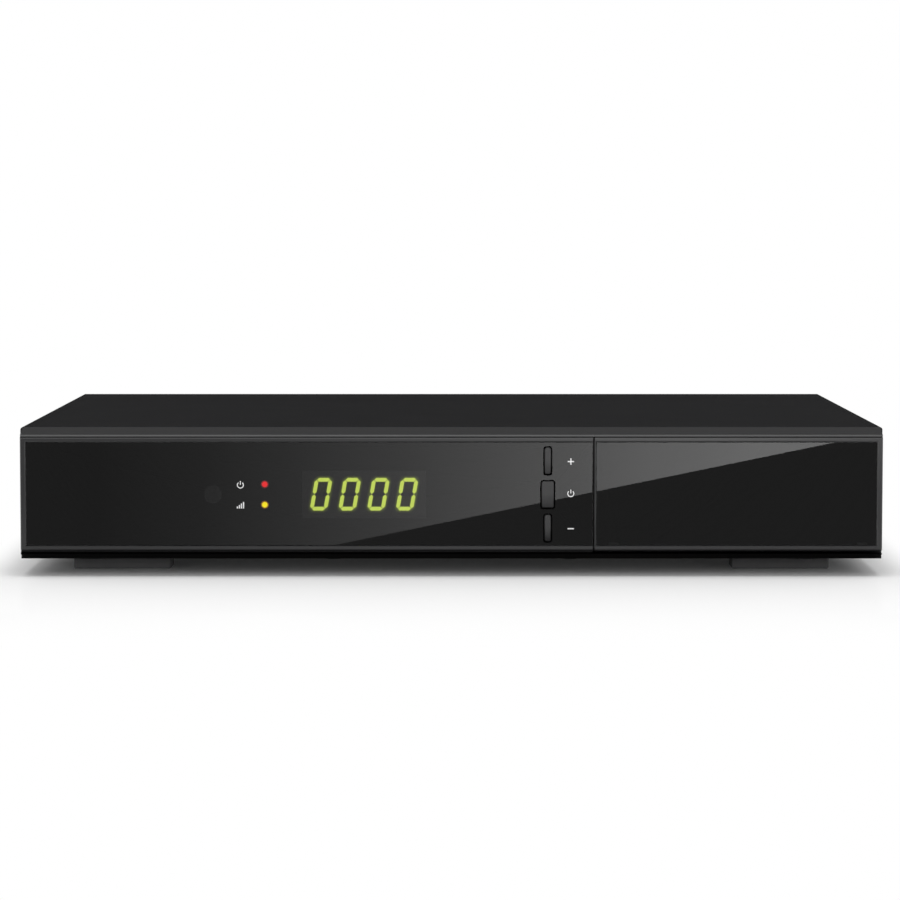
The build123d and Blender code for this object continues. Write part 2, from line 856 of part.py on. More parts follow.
def pan_screw(length):
    """A pan-head screw that points down, with its seat at the origin and a cross in its head."""
    rim = RegularPolygon(screw_head_radius, 14)
    crown = RegularPolygon(screw_head_radius - 0.7, 14)
    head = extrude(rim, screw_head_height / 2) + loft(
        [Pos(0, 0, screw_head_height / 2) * rim, Pos(0, 0, screw_head_height) * crown]
    )
    for turn in (0, 90):
        head -= Pos(0, 0, screw_head_height) * Rot(0, 0, turn) * Box(2.6, 0.7, 1.2)
    return head + screw_shank(length)


def screw_shank(length):
    """The shank of a screw, from its seat down."""
    return extrude(RegularPolygon(screw_radius, 12), -length)


def board_screw(length):
    """A plain pan-head screw for the boards, without the cross that nobody sees."""
    return extrude(RegularPolygon(screw_head_radius, 12), screw_head_height) + screw_shank(length)


def cover_screws():
    """The screws that hold the cover: in its sides to the flanges, and in its lip to the panel."""
    seat = half_cover - dimple_depth
    screws = [
        Pos(side * seat, front_y + back, side_screw_z) * Rot(0, 90 * side, 0) * pan_screw(6.0)
        for side in (-1, 1)
        for back in side_screw_backs
    ]
    rear = front_y + case_depth
    screws += [Pos(x, rear, rear_screw_z) * Rot(-90, 0, 0) * pan_screw(6.0) for x in rear_screw_xs]
    return group(screws)


def bezel_screws():
    """The low-headed screws that come up through the floor into the front moulding."""
    middle = front_y + bezel_screw_back
    head = extrude(RegularPolygon(screw_head_radius, 14), wafer_head_height)
    head -= Pos(0, 0, wafer_head_height) * Box(2.6, 0.7, wafer_head_height)
    head -= Pos(0, 0, wafer_head_height) * Box(0.7, 2.6, wafer_head_height)
    screw = head + screw_shank(3.0)
    return group(Pos(x, middle, case_bottom) * Rot(180, 0, 0) * screw for x in bezel_screw_xs)


def foot_places():
    """The four feet by name, each as (across, back)."""
    rear = case_depth - foot_rear_margin
    return {
        "foot_front_left": (-foot_x, foot_front_back),
        "foot_front_right": (foot_x, foot_front_back),
        "foot_rear_left": (-foot_x, rear),
        "foot_rear_right": (foot_x, rear),
    }


def foot(name):
    """A moulded foot: a rounded block with a peg pressed into the floor of the case."""
    x, back = foot_places()[name]
    pad = soft_block(around(x, foot_width), around(back, foot_length), (0, foot_height), foot_corner, Axis.Z)
    pad = chamfer(pad.edges().group_by(Axis.Z)[0], 0.3)
    peg = post(x, back, (foot_height - 0.5, floor_top + 1.5), peg_radius, hole_sides)
    return pad + peg


# ---- boards inside ----


def main_board_holes():
    """The screw places of the main board, as (across, back)."""
    side = main_board_right - 3.4
    inner = bay_left + 5.9
    rear = panel_inside - 17.0
    return [
        (side, main_board_front + 10),
        (inner, main_board_front + 10),
        (side, panel_inside - tuner_length - 10),
        (main_board_notch + 5, notch_back + 6),
        (main_board_left + 4.5, rear),
    ]


def power_board_holes():
    """The screw places of the power board, as (across, back)."""
    half_x, half_back = power_board_size[0] / 2 - 4, power_board_size[1] / 2 - 4
    return [(power_board_x + i * half_x, power_board_back + j * half_back) for i in (-1, 1) for j in (-1, 1)]


def main_board():
    """Main circuit board, shaped to pass round the power supply and the front board."""
    rear = panel_inside - main_board_rear_gap
    left, right = main_board_left, main_board_right
    inner = bay_left + 2.5
    front, notch, step = main_board_front, main_board_notch, main_board_step
    points = [
        (left, rear),
        (right, rear),
        (right, front),
        (inner, front),
        (inner, notch_back),
        (notch, notch_back),
        (notch, step),
        (left, step),
    ]
    outline = Polyline([(x, front_y + back, board_bottom) for x, back in points], close=True)
    plate = extrude(make_face(outline), board, dir=(0, 0, 1))
    for x, back in main_board_holes():
        plate -= post(x, back, (board_bottom - 1, board_top + 1), screw_radius + fit_gap, hole_sides)
    return plate


def power_board():
    """Power supply board, on the left away from the sockets."""
    plate = block(
        around(power_board_x, power_board_size[0]),
        around(power_board_back, power_board_size[1]),
        (board_bottom, board_top),
    )
    for x, back in power_board_holes():
        plate -= post(x, back, (board_bottom - 1, board_top + 1), screw_radius + fit_gap, hole_sides)
    return plate


def board_standoffs():
    """Threaded pillars that carry both boards above the floor."""
    places = main_board_holes() + power_board_holes()
    hexagon = RegularPolygon(2.6, 6) - RegularPolygon(screw_radius, 12)
    pillar = extrude(hexagon, standoff_height)
    return group(Pos(x, front_y + back, floor_top) * pillar for x, back in places)


def board_screws():
    """The screws that hold the boards: down into the pillars, and into the fascia's bosses."""
    places = main_board_holes() + power_board_holes()
    seat = front_y + front_board_back + board
    screws = [Pos(x, front_y + back, board_top) * board_screw(board + 4.0) for x, back in places]
    screws += [Pos(x, seat, z) * Rot(-90, 0, 0) * board_screw(board + 3.5) for x, z in front_board_holes()]
    return group(screws)


def power_transformer():
    """Switching transformer: a ferrite core round a taped winding, on a moulded foot."""
    x, back = power_board_x + 8, power_board_back - 6
    base = block(around(x, 24), around(back, 26), (board_top, board_top + 3))
    winding = block(around(x, 16), around(back, 22), (board_top + 3, board_top + 17))
    winding = fillet(winding.edges().filter_by(Axis.Z), 3.0)
    core = block(around(x, 26), around(back, 9), (board_top + 5, board_top + 21))
    cap = block(around(x, 26), around(back, 9), (board_top + 3, board_top + 21))
    return base + winding + core + cap


def power_capacitors():
    """Electrolytic capacitors of the power supply: one large and two small."""
    places = [(-22, 22, 8.0, 24.0), (-20, -30, 5.0, 18.0), (-6, -32, 5.0, 18.0)]
    return group(
        post(power_board_x + dx, power_board_back + dy, (board_top, board_top + height), radius, 20)
        for dx, dy, radius, height in places
    )


def power_heat_sink():
    """Upright aluminium heat sink of the power supply, with fins along it."""
    x, back = power_board_x + 27, power_board_back + 8
    plate = block((x, x + 2), around(back, 40), (board_top, board_top + 24))
    for step in range(7):
        plate += block((x - 4, x), around(back - 18 + step * 6, 1.4), (board_top, board_top + 24))
    return plate


def power_choke():
    """Mains filter choke: two windings on a square core."""
    x, back = power_board_x - 20, power_board_back + 2
    ring = block(around(x, 18), around(back, 14), (board_top, board_top + 16))
    ring -= block(around(x, 8), around(back, 20), (board_top + 5, board_top + 11))
    for side in (-1, 1):
        ring += post(x + side * 6.6, back, (board_top + 2, board_top + 14), 5.6, 16)
    return ring


def board_chips():
    """The processor and the memory chips beside it, flat on the main board."""
    x, back = processor_x, processor_back
    chips = [block(around(x, 27), around(back, 27), (board_top, board_top + 2.2))]
    for dx, dy in ((-30, 10), (-30, -8), (30, 10), (30, -8)):
        chips.append(block(around(x + dx, 14), around(back + dy, 10), (board_top, board_top + 1.2)))
    return group(chips)


def processor_heat_sink():
    """Square finned heat sink that sits on the processor."""
    x, back = processor_x, processor_back
    low = board_top + 2.2
    depth = around(back, heat_sink_side)
    sink = block(around(x, heat_sink_side), depth, (low, low + 3))
    pitch = (heat_sink_side - 4.2) / 7
    for step in range(8):
        sink += block(around(x + (step - 3.5) * pitch, 1.4), depth, (low + 3, low + 14))
    return sink


def board_capacitors():
    """Small electrolytic capacitors of the main board."""
    row = processor_back - heat_sink_side / 2 - capacitor_from_sink
    places = [(processor_x + dx, row) for dx in capacitor_steps]
    rise = (board_top, board_top + capacitor_height)
    return group(post(x, row, rise, capacitor_radius, 20) for x, row in places)


def card_reader():
    """Smart card reader: a flat frame whose slot lines up with the slot in the bay."""
    low, high = card_slot_z()
    front, rear = bay_back + bay_wall + 0.4, 66.0
    half = (card_width + card_play) / 2
    frame = block((card_x - half - 1.4, card_x + half + 1.4), (front, rear), (board_top, high + 1.6))
    frame -= block((card_x - half, card_x + half), (front - 1, rear - 3), (low - 0.2, high + 0.2))
    frame -= block(around(card_x, 30), (front + 14, front + 40), (high, high + 3))
    frame -= block(around(card_x, card_width + 10), (front - 1, 20.2), (board_top - 1, board_top + 0.3))
    return frame


def card_contacts():
    """The eight sprung contacts of the card reader, in two rows."""
    low, _ = card_slot_z()
    solids = []
    for row in (-1, 1):
        for step in range(4):
            x = card_x + (step - 1.5) * 2.54 + 14
            back = 46 + row * 3.8
            solids.append(block(around(x, 1.2), around(back, 3.0), (low - 0.2, low + 0.5)))
    return group(solids)


def ribbon_cable():
    """Flat cable from the front board to the main board."""
    start, end = front_board_back + board + 4.2, 76.0
    low = board_top + 5.2
    points = [(start, 22.0), (start + 6, 22.0), (end, low + 3.0), (end, low)]
    thickness = 0.9
    upper = [(back, z + thickness) for back, z in points[:-1]] + [(end + thickness, low)]
    upper[2] = (end + thickness, low + 3.0 + thickness)
    return side_profile(points + upper[::-1], around(ribbon_x, ribbon_width))


def ribbon_sockets():
    """The two sockets that hold the ends of the flat cable."""
    start = front_board_back + board
    front = block(around(ribbon_x, ribbon_width + 3), (start, start + 4.2), (19.5, 25.0))
    main = block(around(ribbon_x, ribbon_width + 3), (73.5, 79.5), (board_top, board_top + 5.2))
    return group([front, main])


def power_harness():
    """Two flat runs of wire: from the inlet to the supply, and from the supply to the main board."""
    rear, front = panel_face - 15.5, power_board_rear - 3
    mains = [
        (rear, mains_z),
        (rear - 14, mains_z),
        (front + 6, board_top + 6),
        (front, board_top + 6),
        (front, board_top),
        (front - 1.4, board_top),
        (front - 1.4, board_top + 7.4),
        (front + 6, board_top + 7.4),
        (rear - 14, mains_z + 1.4),
        (rear, mains_z + 1.4),
    ]
    left, right = power_board_right - 5, main_board_notch + 8
    arch = [
        (left, board_top),
        (left, board_top + 9),
        (right, board_top + 9),
        (right, board_top),
        (right - 1.4, board_top),
        (right - 1.4, board_top + 7.6),
        (left + 1.4, board_top + 7.6),
        (left + 1.4, board_top),
    ]
    back = front_y + power_board_rear - 18
    output = make_face(Polyline([(x, back, z) for x, z in arch], close=True))
    inlet_run = side_profile(mains, around(inlet_x + harness_shift, 5.0))
    return group([inlet_run, extrude(output, 9.0, dir=(0, 1, 0))])


# ---- rear sockets ----


def tuner_can():
    """Screened tuner behind the two aerial sockets."""
    left, right = around(socket_xs["tuner"], tuner_width)
    depth = (panel_inside - tuner_length, panel_inside - 0.1)
    return block((left, right), depth, (board_top, tuner_z + 10.0))


def lnb_sockets():
    """The two threaded aerial sockets, each with its hexagonal nut against the panel."""
    nut_end = panel_face + f_hex_thickness
    sockets = []
    for x in (lnb_in_x, lnb_out_x):
        socket = rod(x, (panel_inside - 0.1, nut_end + f_barrel_length), tuner_z, f_barrel_radius)
        socket = chamfer(front_edges(socket, nut_end + f_barrel_length), 0.5)
        socket += hex_bar(x, (panel_face + 0.02, nut_end), tuner_z, f_hex)
        socket -= rod(x, (nut_end - 1, nut_end + f_barrel_length + 1), tuner_z, f_bore_radius)
        sockets.append(socket)
    return group(sockets)


def lnb_insulators():
    """The white insulators inside both aerial sockets, each with a hole for the centre wire."""
    front, rear = panel_face + f_hex_thickness - 1, panel_face + rear_reach - 1.2
    solids = []
    for x in (lnb_in_x, lnb_out_x):
        plug = rod(x, (front, rear), tuner_z, f_bore_radius)
        solids.append(plug - rod(x, (front + 2, rear + 1), tuner_z, 0.6, hole_sides))
    return group(solids)


def shell_socket(x, z, size, wall_thickness, depth, proud=0.4):
    """A rectangular metal shell through the panel, closed at its inner end."""
    rear = panel_face + proud
    shell = block(around(x, size[0]), (rear - depth, rear), around(z, size[1]))
    inner = (size[0] - 2 * wall_thickness, size[1] - 2 * wall_thickness)
    return shell - block(around(x, inner[0]), (rear - depth + 1.5, rear + 1), around(z, inner[1]))


def hdmi_socket():
    """HDMI socket: a shell whose lower corners are cut off, with a contact tongue inside."""
    rear = panel_face + 0.4
    shell = block(around(hdmi_x, hdmi_size[0]), (rear - 12.0, rear), around(hdmi_z, hdmi_size[1]))
    mouth = block(around(hdmi_x, 14.0), (rear - 10.5, rear + 1), around(hdmi_z, 4.6))
    mouth = chamfer(mouth.edges().filter_by(Axis.Y).sort_by(Axis.Z)[:2], 1.3)
    leg = block(around(hdmi_x, 12), (rear - 11.5, rear - 3), (board_top, hdmi_z - hdmi_size[1] / 2 + 0.1))
    return shell - mouth + leg


def lan_socket():
    """Network socket: a square shell with a stepped opening for the plug's latch."""
    rear = panel_face + 0.4
    shell = block(around(lan_x, lan_size[0]), (rear - 21.0, rear), around(lan_z, lan_size[1]))
    shell -= block(around(lan_x, 11.9), (rear - 13.0, rear + 1), (lan_z - 2.4, lan_z + 5.0))
    shell -= block(around(lan_x, 6.2), (rear - 13.0, rear + 1), (lan_z - 4.2, lan_z - 2.3))
    shell -= block(around(lan_x, 4.0), (rear - 13.0, rear + 1), (lan_z - 5.6, lan_z - 4.1))
    return shell


def lan_contacts():
    """The eight sprung contacts of the network socket."""
    rear = panel_face + 0.4
    points = [(rear - 13.0, lan_z + 5.0), (rear - 2.6, lan_z + 5.0), (rear - 11.0, lan_z + 2.0)]
    points += [(rear - 11.2, lan_z + 2.4), (rear - 4.4, lan_z + 4.7), (rear - 13.0, lan_z + 4.7)]
    return group(side_profile(points, around(lan_x + (step - 3.5) * 1.02, 0.45)) for step in range(8))


def socket_tongues():
    """The contact tongues inside the HDMI and USB sockets."""
    rear = panel_face + 0.4
    wide = block(around(hdmi_x, 10.0), (rear - 10.5, rear - 1.5), around(hdmi_z + 0.1, 1.2))
    tall = block(around(usb_x, 11.0), (rear - 12.5, rear - 1.2), (usb_z + 0.2, usb_z + 2.0))
    return group([wide, tall])


def optical_socket():
    """Optical audio output: a square plastic body with a keyed opening."""
    rear = panel_face + 0.4
    body = block(around(optical_x, optical_size[0]), (rear - 12.0, rear), around(optical_z, optical_size[1]))
    mouth = block(around(optical_x, 6.6), (rear - 8.0, rear + 1), around(optical_z, 6.6))
    body -= chamfer(mouth.edges().filter_by(Axis.Y).sort_by(Axis.Z)[-2:], 1.4)
    low = optical_z - optical_size[1] / 2
    body += block(around(optical_x, 8), (rear - 11.5, rear - 3), (board_top, low + 0.1))
    body += rod(optical_x, (rear - 9.0, rear - 5.5), optical_z, 1.4, 16)
    return body


def av_block():
    """Plastic block that carries the three phono jacks."""
    left, right = av_places()[-1] - av_margin, av_places()[0] + av_margin
    body = block((left, right), (panel_inside - av_depth, panel_inside - 0.1), (board_top, av_z + 6.8))
    for x in av_places():
        body += rod(x, (panel_inside - 0.5, panel_face + av_bush_proud), av_z, av_bush_radius)
        body -= rod(x, (panel_inside - 6.0, panel_face + 3), av_z, av_shell_radius - av_shell_step)
    return body


def av_shell(x):
    """The outer metal ring of a phono jack."""
    end = panel_face + av_shell_length
    ring = rod(x, (panel_face + av_bush_proud, end), av_z, av_shell_radius)
    ring = chamfer(front_edges(ring, end), 0.35)
    ring += rod(x, (panel_inside - 6.0, panel_face + 2), av_z, av_shell_radius - av_shell_step)
    return ring - rod(x, (panel_inside - 4.0, end + 1), av_z, av_shell_radius - av_shell_wall)


def av_insert(x):
    """The coloured insulator of a phono jack, with the hole for the plug's pin."""
    end = panel_face + av_shell_length - 1.0
    insert = rod(x, (panel_inside - 4.0, end), av_z, av_shell_radius - av_shell_wall)
    return insert - rod(x, (panel_inside - 2.0, end + 1), av_z, av_pin_radius)


def scart_socket():
    """Euro AV socket: a metal shroud with one slanted end round a block with a channel."""
    rear = panel_face + scart_proud
    width, height = scart_size
    outer = scart_outline(width, height, panel_face - 11.0)
    shroud = extrude(outer, scart_proud + 11.0, dir=(0, 1, 0))
    inner = scart_outline(width - 1.6, height - 1.6, panel_face - 9.0)
    return shroud - extrude(inner, scart_proud + 10.0, dir=(0, 1, 0))


def scart_outline(width, height, back):
    """The outline of the Euro AV socket: a long rectangle with one upper corner cut off."""
    cut = height * 0.42
    left, right = scart_x - width / 2, scart_x + width / 2
    low, high = scart_z - height / 2, scart_z + height / 2
    points = [(left, low), (right, low), (right, high), (left + cut, high), (left, high - cut)]
    return make_face(Polyline([(x, front_y + back, z) for x, z in points], close=True))


def scart_insert():
    """The contact block of the Euro AV socket, with its two rows of slots."""
    width, height = scart_size[0] - 6.0, scart_size[1] - 6.4
    rear = panel_face + scart_proud - 1.5
    insert = block(around(scart_x, width), (panel_face - 9.0, rear), around(scart_z, height))
    insert = chamfer(insert.edges().filter_by(Axis.Y).group_by(Axis.X)[0].sort_by(Axis.Z)[-1], 3.0)
    for row, count in ((-1, 10), (1, 10)):
        for step in range(count):
            x = scart_x + (step - (count - 1) / 2) * 3.81 + row * 0.95
            insert -= block(around(x, 0.9), (rear - 6.0, rear + 1), around(scart_z + row * 2.0, 2.6))
    return insert


def mains_switch_body():
    """The frame of the mains switch, snapped in the panel, with a pocket for its rocker."""
    width, height = rocker_frame
    frame = soft_block(
        around(mains_switch_x, width), (panel_face + 0.02, panel_face + 1.8), around(mains_z, height), 0.8
    )
    body = block(
        around(mains_switch_x, width - 2.6),
        (panel_face - 15.0, panel_face + 1),
        around(mains_z, height - 2.6),
    )
    pocket = block(
        around(mains_switch_x, rocker_width + 0.5),
        (panel_face - 8.0, panel_face + 3),
        around(mains_z, rocker_height + rocker_room),
    )
    shell = frame + body - pocket
    pin_half = (rocker_width + 0.5) / 2
    for side in (-1, 1):
        stub = (mains_switch_x + side * pin_half, mains_switch_x + side * (pin_half - 1.0))
        shell += cross_rod((min(stub), max(stub)), rocker_pivot_back, mains_z, rocker_stub_radius)
    return shell


def mains_rocker():
    """The rocker: a shallow V that tips about a cross pin. It rests with its upper half pressed."""
    half = rocker_height / 2
    pivot = rocker_pivot_back
    face = panel_face + 1.6
    slope = half * math.tan(math.radians(rocker_swing / 2))
    points = [
        (face + slope, -half),
        (face, 0),
        (face + slope, half),
        (pivot + 0.8, half - 0.9),
        (pivot - 1.9, 1.9),
        (pivot - 1.9, -1.9),
        (pivot + 0.8, -half + 0.9),
    ]
    rocker = side_profile(points, around(mains_switch_x, rocker_width))
    rocker -= cross_rod(around(mains_switch_x, rocker_width + 2), pivot, 0, rocker_stub_radius + hinge_play)
    pivot_y = front_y + pivot
    return Pos(0, pivot_y, mains_z) * Rot(rocker_swing / 2, 0, 0) * Pos(0, -pivot_y, 0) * rocker


def mains_inlet():
    """Two-pole mains inlet: a flange against the panel round a long rounded recess."""
    width, height = inlet_flange
    flange = soft_block(
        around(inlet_x, width), (panel_face + 0.02, panel_face + 1.6), around(mains_z, height), 1.2
    )
    body = block(
        around(inlet_x, width - 3.6), (panel_face - 15.0, panel_face + 1), around(mains_z, height - 3.6)
    )
    shell = flange + body
    mouth = block(
        around(inlet_x, inlet_mouth[0]), (panel_face - 11.0, panel_face + 3), around(mains_z, inlet_mouth[1])
    )
    mouth = fillet(mouth.edges().filter_by(Axis.Y), inlet_mouth[1] / 2 - 0.05)
    return shell - mouth


def mains_inlet_pins():
    """The two round pins of the mains inlet."""
    return group(
        rod(inlet_x + side * inlet_pin_pitch / 2, (panel_face - 11.0, panel_face - 1.5), mains_z, 1.2, 12)
        for side in (-1, 1)
    )


# ---- the assembly, from the case inwards ----
os.makedirs("parts", exist_ok=True)

nodes = {
    "front_bezel": front_bezel(),
    "front_window": front_window(),
    "base_chassis": base_chassis(),
    "top_cover": top_cover(),
    "cover_screws": cover_screws(),
    "bezel_screws": bezel_screws(),
    "front_door": flap(),
    "door_window": flap_window(),
    "door_hinge_pins": flap_hinge_pins(),
    "front_board": front_board(),
    "display_case": display_case(),
    "display_outer_segments": digit_segments(False),
    "display_centre_segments": digit_segments(True),
    "power_led": lamp(power_lamp_z),
    "signal_led": lamp(signal_lamp_z),
    "ir_receiver": infrared_eye(),
    "key_switch_bodies": group(key_switch_body(name) for name in key_zs),
    "main_board": main_board(),
    "power_board": power_board(),
    "board_standoffs": board_standoffs(),
    "board_screws": board_screws(),
    "power_transformer": power_transformer(),
    "power_capacitors": power_capacitors(),
    "power_choke": power_choke(),
    "power_heat_sink": power_heat_sink(),
    "board_chips": board_chips(),
    "processor_heat_sink": processor_heat_sink(),
    "board_capacitors": board_capacitors(),
    "card_reader": card_reader(),
    "card_contacts": card_contacts(),
    "ribbon_cable": ribbon_cable(),
    "ribbon_sockets": ribbon_sockets(),
    "power_harness": power_harness(),
    "tuner_can": tuner_can(),
    "lnb_sockets": lnb_sockets(),
    "lnb_insulators": lnb_insulators(),
    "hdmi_socket": hdmi_socket(),
    "lan_socket": lan_socket(),
    "lan_contacts": lan_contacts(),
    "usb_socket": shell_socket(usb_x, usb_z, usb_size, 0.5, 14.0),
    "socket_tongues": socket_tongues(),
    "optical_socket": optical_socket(),
    "av_block": av_block(),
    "av_jack_shells": group(av_shell(x) for x in av_places()),
    "scart_socket": scart_socket(),
    "scart_insert": scart_insert(),
    "mains_switch_body": mains_switch_body(),
    "mains_rocker": mains_rocker(),
    "mains_inlet": mains_inlet(),
    "mains_inlet_pins": mains_inlet_pins(),
}
for name in key_zs:
    nodes[name + "_button"] = group([key(name), key_plunger(name)])
for name, x in zip(("video", "audio_left", "audio_right"), av_places()):
    nodes["av_insert_" + name] = av_insert(x)
for name in foot_places():
    nodes[name] = foot(name)

for name, shape in nodes.items():
    shape.label = name
    export_step(shape, os.path.join("parts", name + ".step"))
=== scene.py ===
import math
import bpy
import bmesh
import mathutils
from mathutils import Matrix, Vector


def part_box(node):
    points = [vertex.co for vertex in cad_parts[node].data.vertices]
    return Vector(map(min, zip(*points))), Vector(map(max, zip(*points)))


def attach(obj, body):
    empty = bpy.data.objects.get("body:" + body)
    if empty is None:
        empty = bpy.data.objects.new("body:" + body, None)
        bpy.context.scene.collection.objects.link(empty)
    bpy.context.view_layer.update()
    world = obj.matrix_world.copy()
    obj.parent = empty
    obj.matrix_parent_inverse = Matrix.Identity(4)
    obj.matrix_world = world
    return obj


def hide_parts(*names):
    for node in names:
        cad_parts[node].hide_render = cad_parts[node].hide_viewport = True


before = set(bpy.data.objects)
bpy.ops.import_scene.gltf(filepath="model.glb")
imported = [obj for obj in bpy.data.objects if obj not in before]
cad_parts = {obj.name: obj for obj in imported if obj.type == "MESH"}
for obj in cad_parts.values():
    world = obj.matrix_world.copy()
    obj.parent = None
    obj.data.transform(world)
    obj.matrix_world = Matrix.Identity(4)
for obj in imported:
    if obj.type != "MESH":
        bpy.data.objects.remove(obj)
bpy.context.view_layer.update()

# ---- stage ----
# A pale table under soft lamps. The camera stands a little above the receiver and looks slightly
# down at its front. None of this belongs to the object.

scene = bpy.context.scene
scene.view_settings.view_transform = "Standard"
fascia_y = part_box("front_bezel")[0][1]
camera_x, camera_distance, camera_height, camera_pitch = -0.00042, 1.028, 0.1131, 4.151


def linear(code):
    """A colour written as sRGB hex, as the renderer's linear values."""
    parts = [int(code[i : i + 2], 16) / 255 for i in (0, 2, 4)]
    return [p / 12.92 if p <= 0.04045 else ((p + 0.055) / 1.055) ** 2.4 for p in parts] + [1.0]


def empty_tree(block):
    """The node tree of a new material or world, with nothing in it."""
    block.use_nodes = True
    block.node_tree.nodes.clear()
    return block.node_tree


def wire(target, inputs):
    """Sets a node's inputs, or links them. A node given as a value stands for its first output in use."""
    for name, value in inputs.items():
        if isinstance(value, bpy.types.Node):
            value = next(socket for socket in value.outputs if not socket.is_unavailable)
        if isinstance(value, bpy.types.NodeSocket):
            target.id_data.links.new(value, target.inputs[name])
        else:
            target.inputs[name].default_value = value


def add(tree, kind, inputs=None, **settings):
    """A new node in the tree, with its settings, and its inputs set or linked."""
    new = tree.nodes.new(kind)
    for name, value in settings.items():
        setattr(new, name, value)
    wire(new, inputs or {})
    return new


def shown(name, data):
    """A new object in the scene that shows this mesh, lamp or camera."""
    item = bpy.data.objects.new(name, data)
    scene.collection.objects.link(item)
    return item


def flat_sheet(name, corners):
    """An object with one face between four corners."""
    mesh = bpy.data.meshes.new(name)
    mesh.from_pydata(corners, [], [(0, 1, 2, 3)])
    return shown(name, mesh)


def coat(material, *objects):
    """Gives each object that one material."""
    for item in objects:
        item.data.materials.clear()
        item.data.materials.append(material)


camera_data = bpy.data.cameras.new("camera")
camera_data.lens = 136.9
camera_data.sensor_width = 36
camera_data.clip_start = 0.05
camera = shown("camera", camera_data)
camera.location = (camera_x, fascia_y - camera_distance, camera_height)
camera.rotation_euler = (math.radians(90 - camera_pitch), 0, 0)
scene.camera = camera


def seen_ray(tree, rays):
    """1 for a ray from the camera, off a shiny surface or through a clear one, and 0 for others."""
    straight = {0: rays["Is Camera Ray"], 1: rays["Is Glossy Ray"]}
    seen = add(tree, "ShaderNodeMath", straight, operation="MAXIMUM")
    return add(tree, "ShaderNodeMath", {0: seen, 1: rays["Is Transmission Ray"]}, operation="MAXIMUM")


# The table is laminate beside the receiver and fades to plain white away from it, sooner at the sides and
# behind than in front. Close to the receiver it is painted dark for soft light and reflections, a painted
# shade for the parts just above it, and near the receiver it gives a faint painted glow that lifts its
# shadow.

footprint = (0.131, 0.098, 0)
side_weight, back_weight, white_from = 9.0, 3.0, 0.16
dark_to, light_from = 0.008, 0.03
polish, painted_glow, glare_gain = 0.045, 0.011, 0.5
half = 4
floor = flat_sheet("floor", [(-half, -half, 0), (half, -half, 0), (half, half, 0), (-half, half, 0)])
table = bpy.data.materials.new("white_laminate_table")
tree = empty_tree(table)
rays = add(tree, "ShaderNodeLightPath").outputs
place = add(tree, "ShaderNodeTexCoord").outputs["Object"]
beside = add(tree, "ShaderNodeVectorMath", {0: place}, operation="ABSOLUTE")
beside = add(tree, "ShaderNodeVectorMath", {0: beside, 1: footprint}, operation="SUBTRACT")
beside = add(tree, "ShaderNodeVectorMath", {0: beside, 1: (0, 0, 0)}, operation="MAXIMUM")
depth = add(tree, "ShaderNodeSeparateXYZ", {0: place}).outputs["Y"]
behind = add(tree, "ShaderNodeMath", {0: depth, 1: 0.0}, operation="GREATER_THAN")
weight = add(tree, "ShaderNodeMath", {0: behind, 1: back_weight - 1, 2: 1.0}, operation="MULTIPLY_ADD")
weight = add(tree, "ShaderNodeCombineXYZ", {"X": side_weight, "Y": weight})
beside = add(tree, "ShaderNodeVectorMath", {0: beside, 1: weight}, operation="MULTIPLY")
reach = add(tree, "ShaderNodeVectorMath", {0: beside}, operation="LENGTH")
far = {"Value": reach, "From Min": 0.0, "From Max": white_from}
far = add(tree, "ShaderNodeMapRange", far, interpolation_type="SMOOTHSTEP")
matt = add(tree, "ShaderNodeBsdfDiffuse", {"Color": linear("f8f8f8")})
shine = add(tree, "ShaderNodeBsdfGlossy", {"Color": linear("ffffff"), "Roughness": 0.16})
near = add(tree, "ShaderNodeMixShader", {0: polish, 1: matt, 2: shine})
# Painted shade: close to the receiver, soft light and reflections see the table dark.
lit = add(tree, "ShaderNodeMapRange", {"Value": reach, "From Min": dark_to, "From Max": light_from})
lit = add(tree, "ShaderNodeMath", {0: lit, 1: rays["Is Camera Ray"]}, operation="MAXIMUM")
shade = add(tree, "ShaderNodeBsdfDiffuse", {"Color": linear("101010")})
near = add(tree, "ShaderNodeMixShader", {0: lit, 1: shade, 2: near})
# A faint painted glow on the table near the receiver lifts its shadow.
lift = add(tree, "ShaderNodeEmission", {"Color": linear("ffffff"), "Strength": painted_glow})
near = add(tree, "ShaderNodeAddShader", {0: near, 1: lift})
glare = {0: rays["Is Glossy Ray"], 1: glare_gain, 2: 1.0}
glare = add(tree, "ShaderNodeMath", glare, operation="MULTIPLY_ADD")
white = add(tree, "ShaderNodeEmission", {"Color": linear("ffffff"), "Strength": glare})
share = add(tree, "ShaderNodeMath", {0: seen_ray(tree, rays), 1: far}, operation="MULTIPLY")
both = add(tree, "ShaderNodeMixShader", {0: share, 1: near, 2: white})
add(tree, "ShaderNodeOutputMaterial", {"Surface": both})
coat(table, floor)

# The room is white to the eye and gives a plain soft light. A shiny surface sees it darker higher up.

world = bpy.data.worlds.new("studio")
scene.world = world
tree = empty_tree(world)
rays = add(tree, "ShaderNodeLightPath").outputs
soft = add(tree, "ShaderNodeBackground", {"Color": linear("ffffff"), "Strength": 0.55})
up = add(tree, "ShaderNodeTexCoord").outputs["Generated"]
up = add(tree, "ShaderNodeSeparateXYZ", {0: up}).outputs["Z"]
dim = {"Value": up, "From Min": 0.15, "From Max": 0.6, "To Min": 1.0, "To Max": 0.2}
dim = add(tree, "ShaderNodeMapRange", dim)
dim = add(tree, "ShaderNodeMix", {"Factor": rays["Is Glossy Ray"], "A": 1.0, "B": dim}, data_type="FLOAT")
white = add(tree, "ShaderNodeBackground", {"Color": linear("ffffff"), "Strength": dim})
mixed = add(tree, "ShaderNodeMixShader", {0: seen_ray(tree, rays), 1: soft, 2: white})
add(tree, "ShaderNodeOutputWorld", {"Surface": mixed})

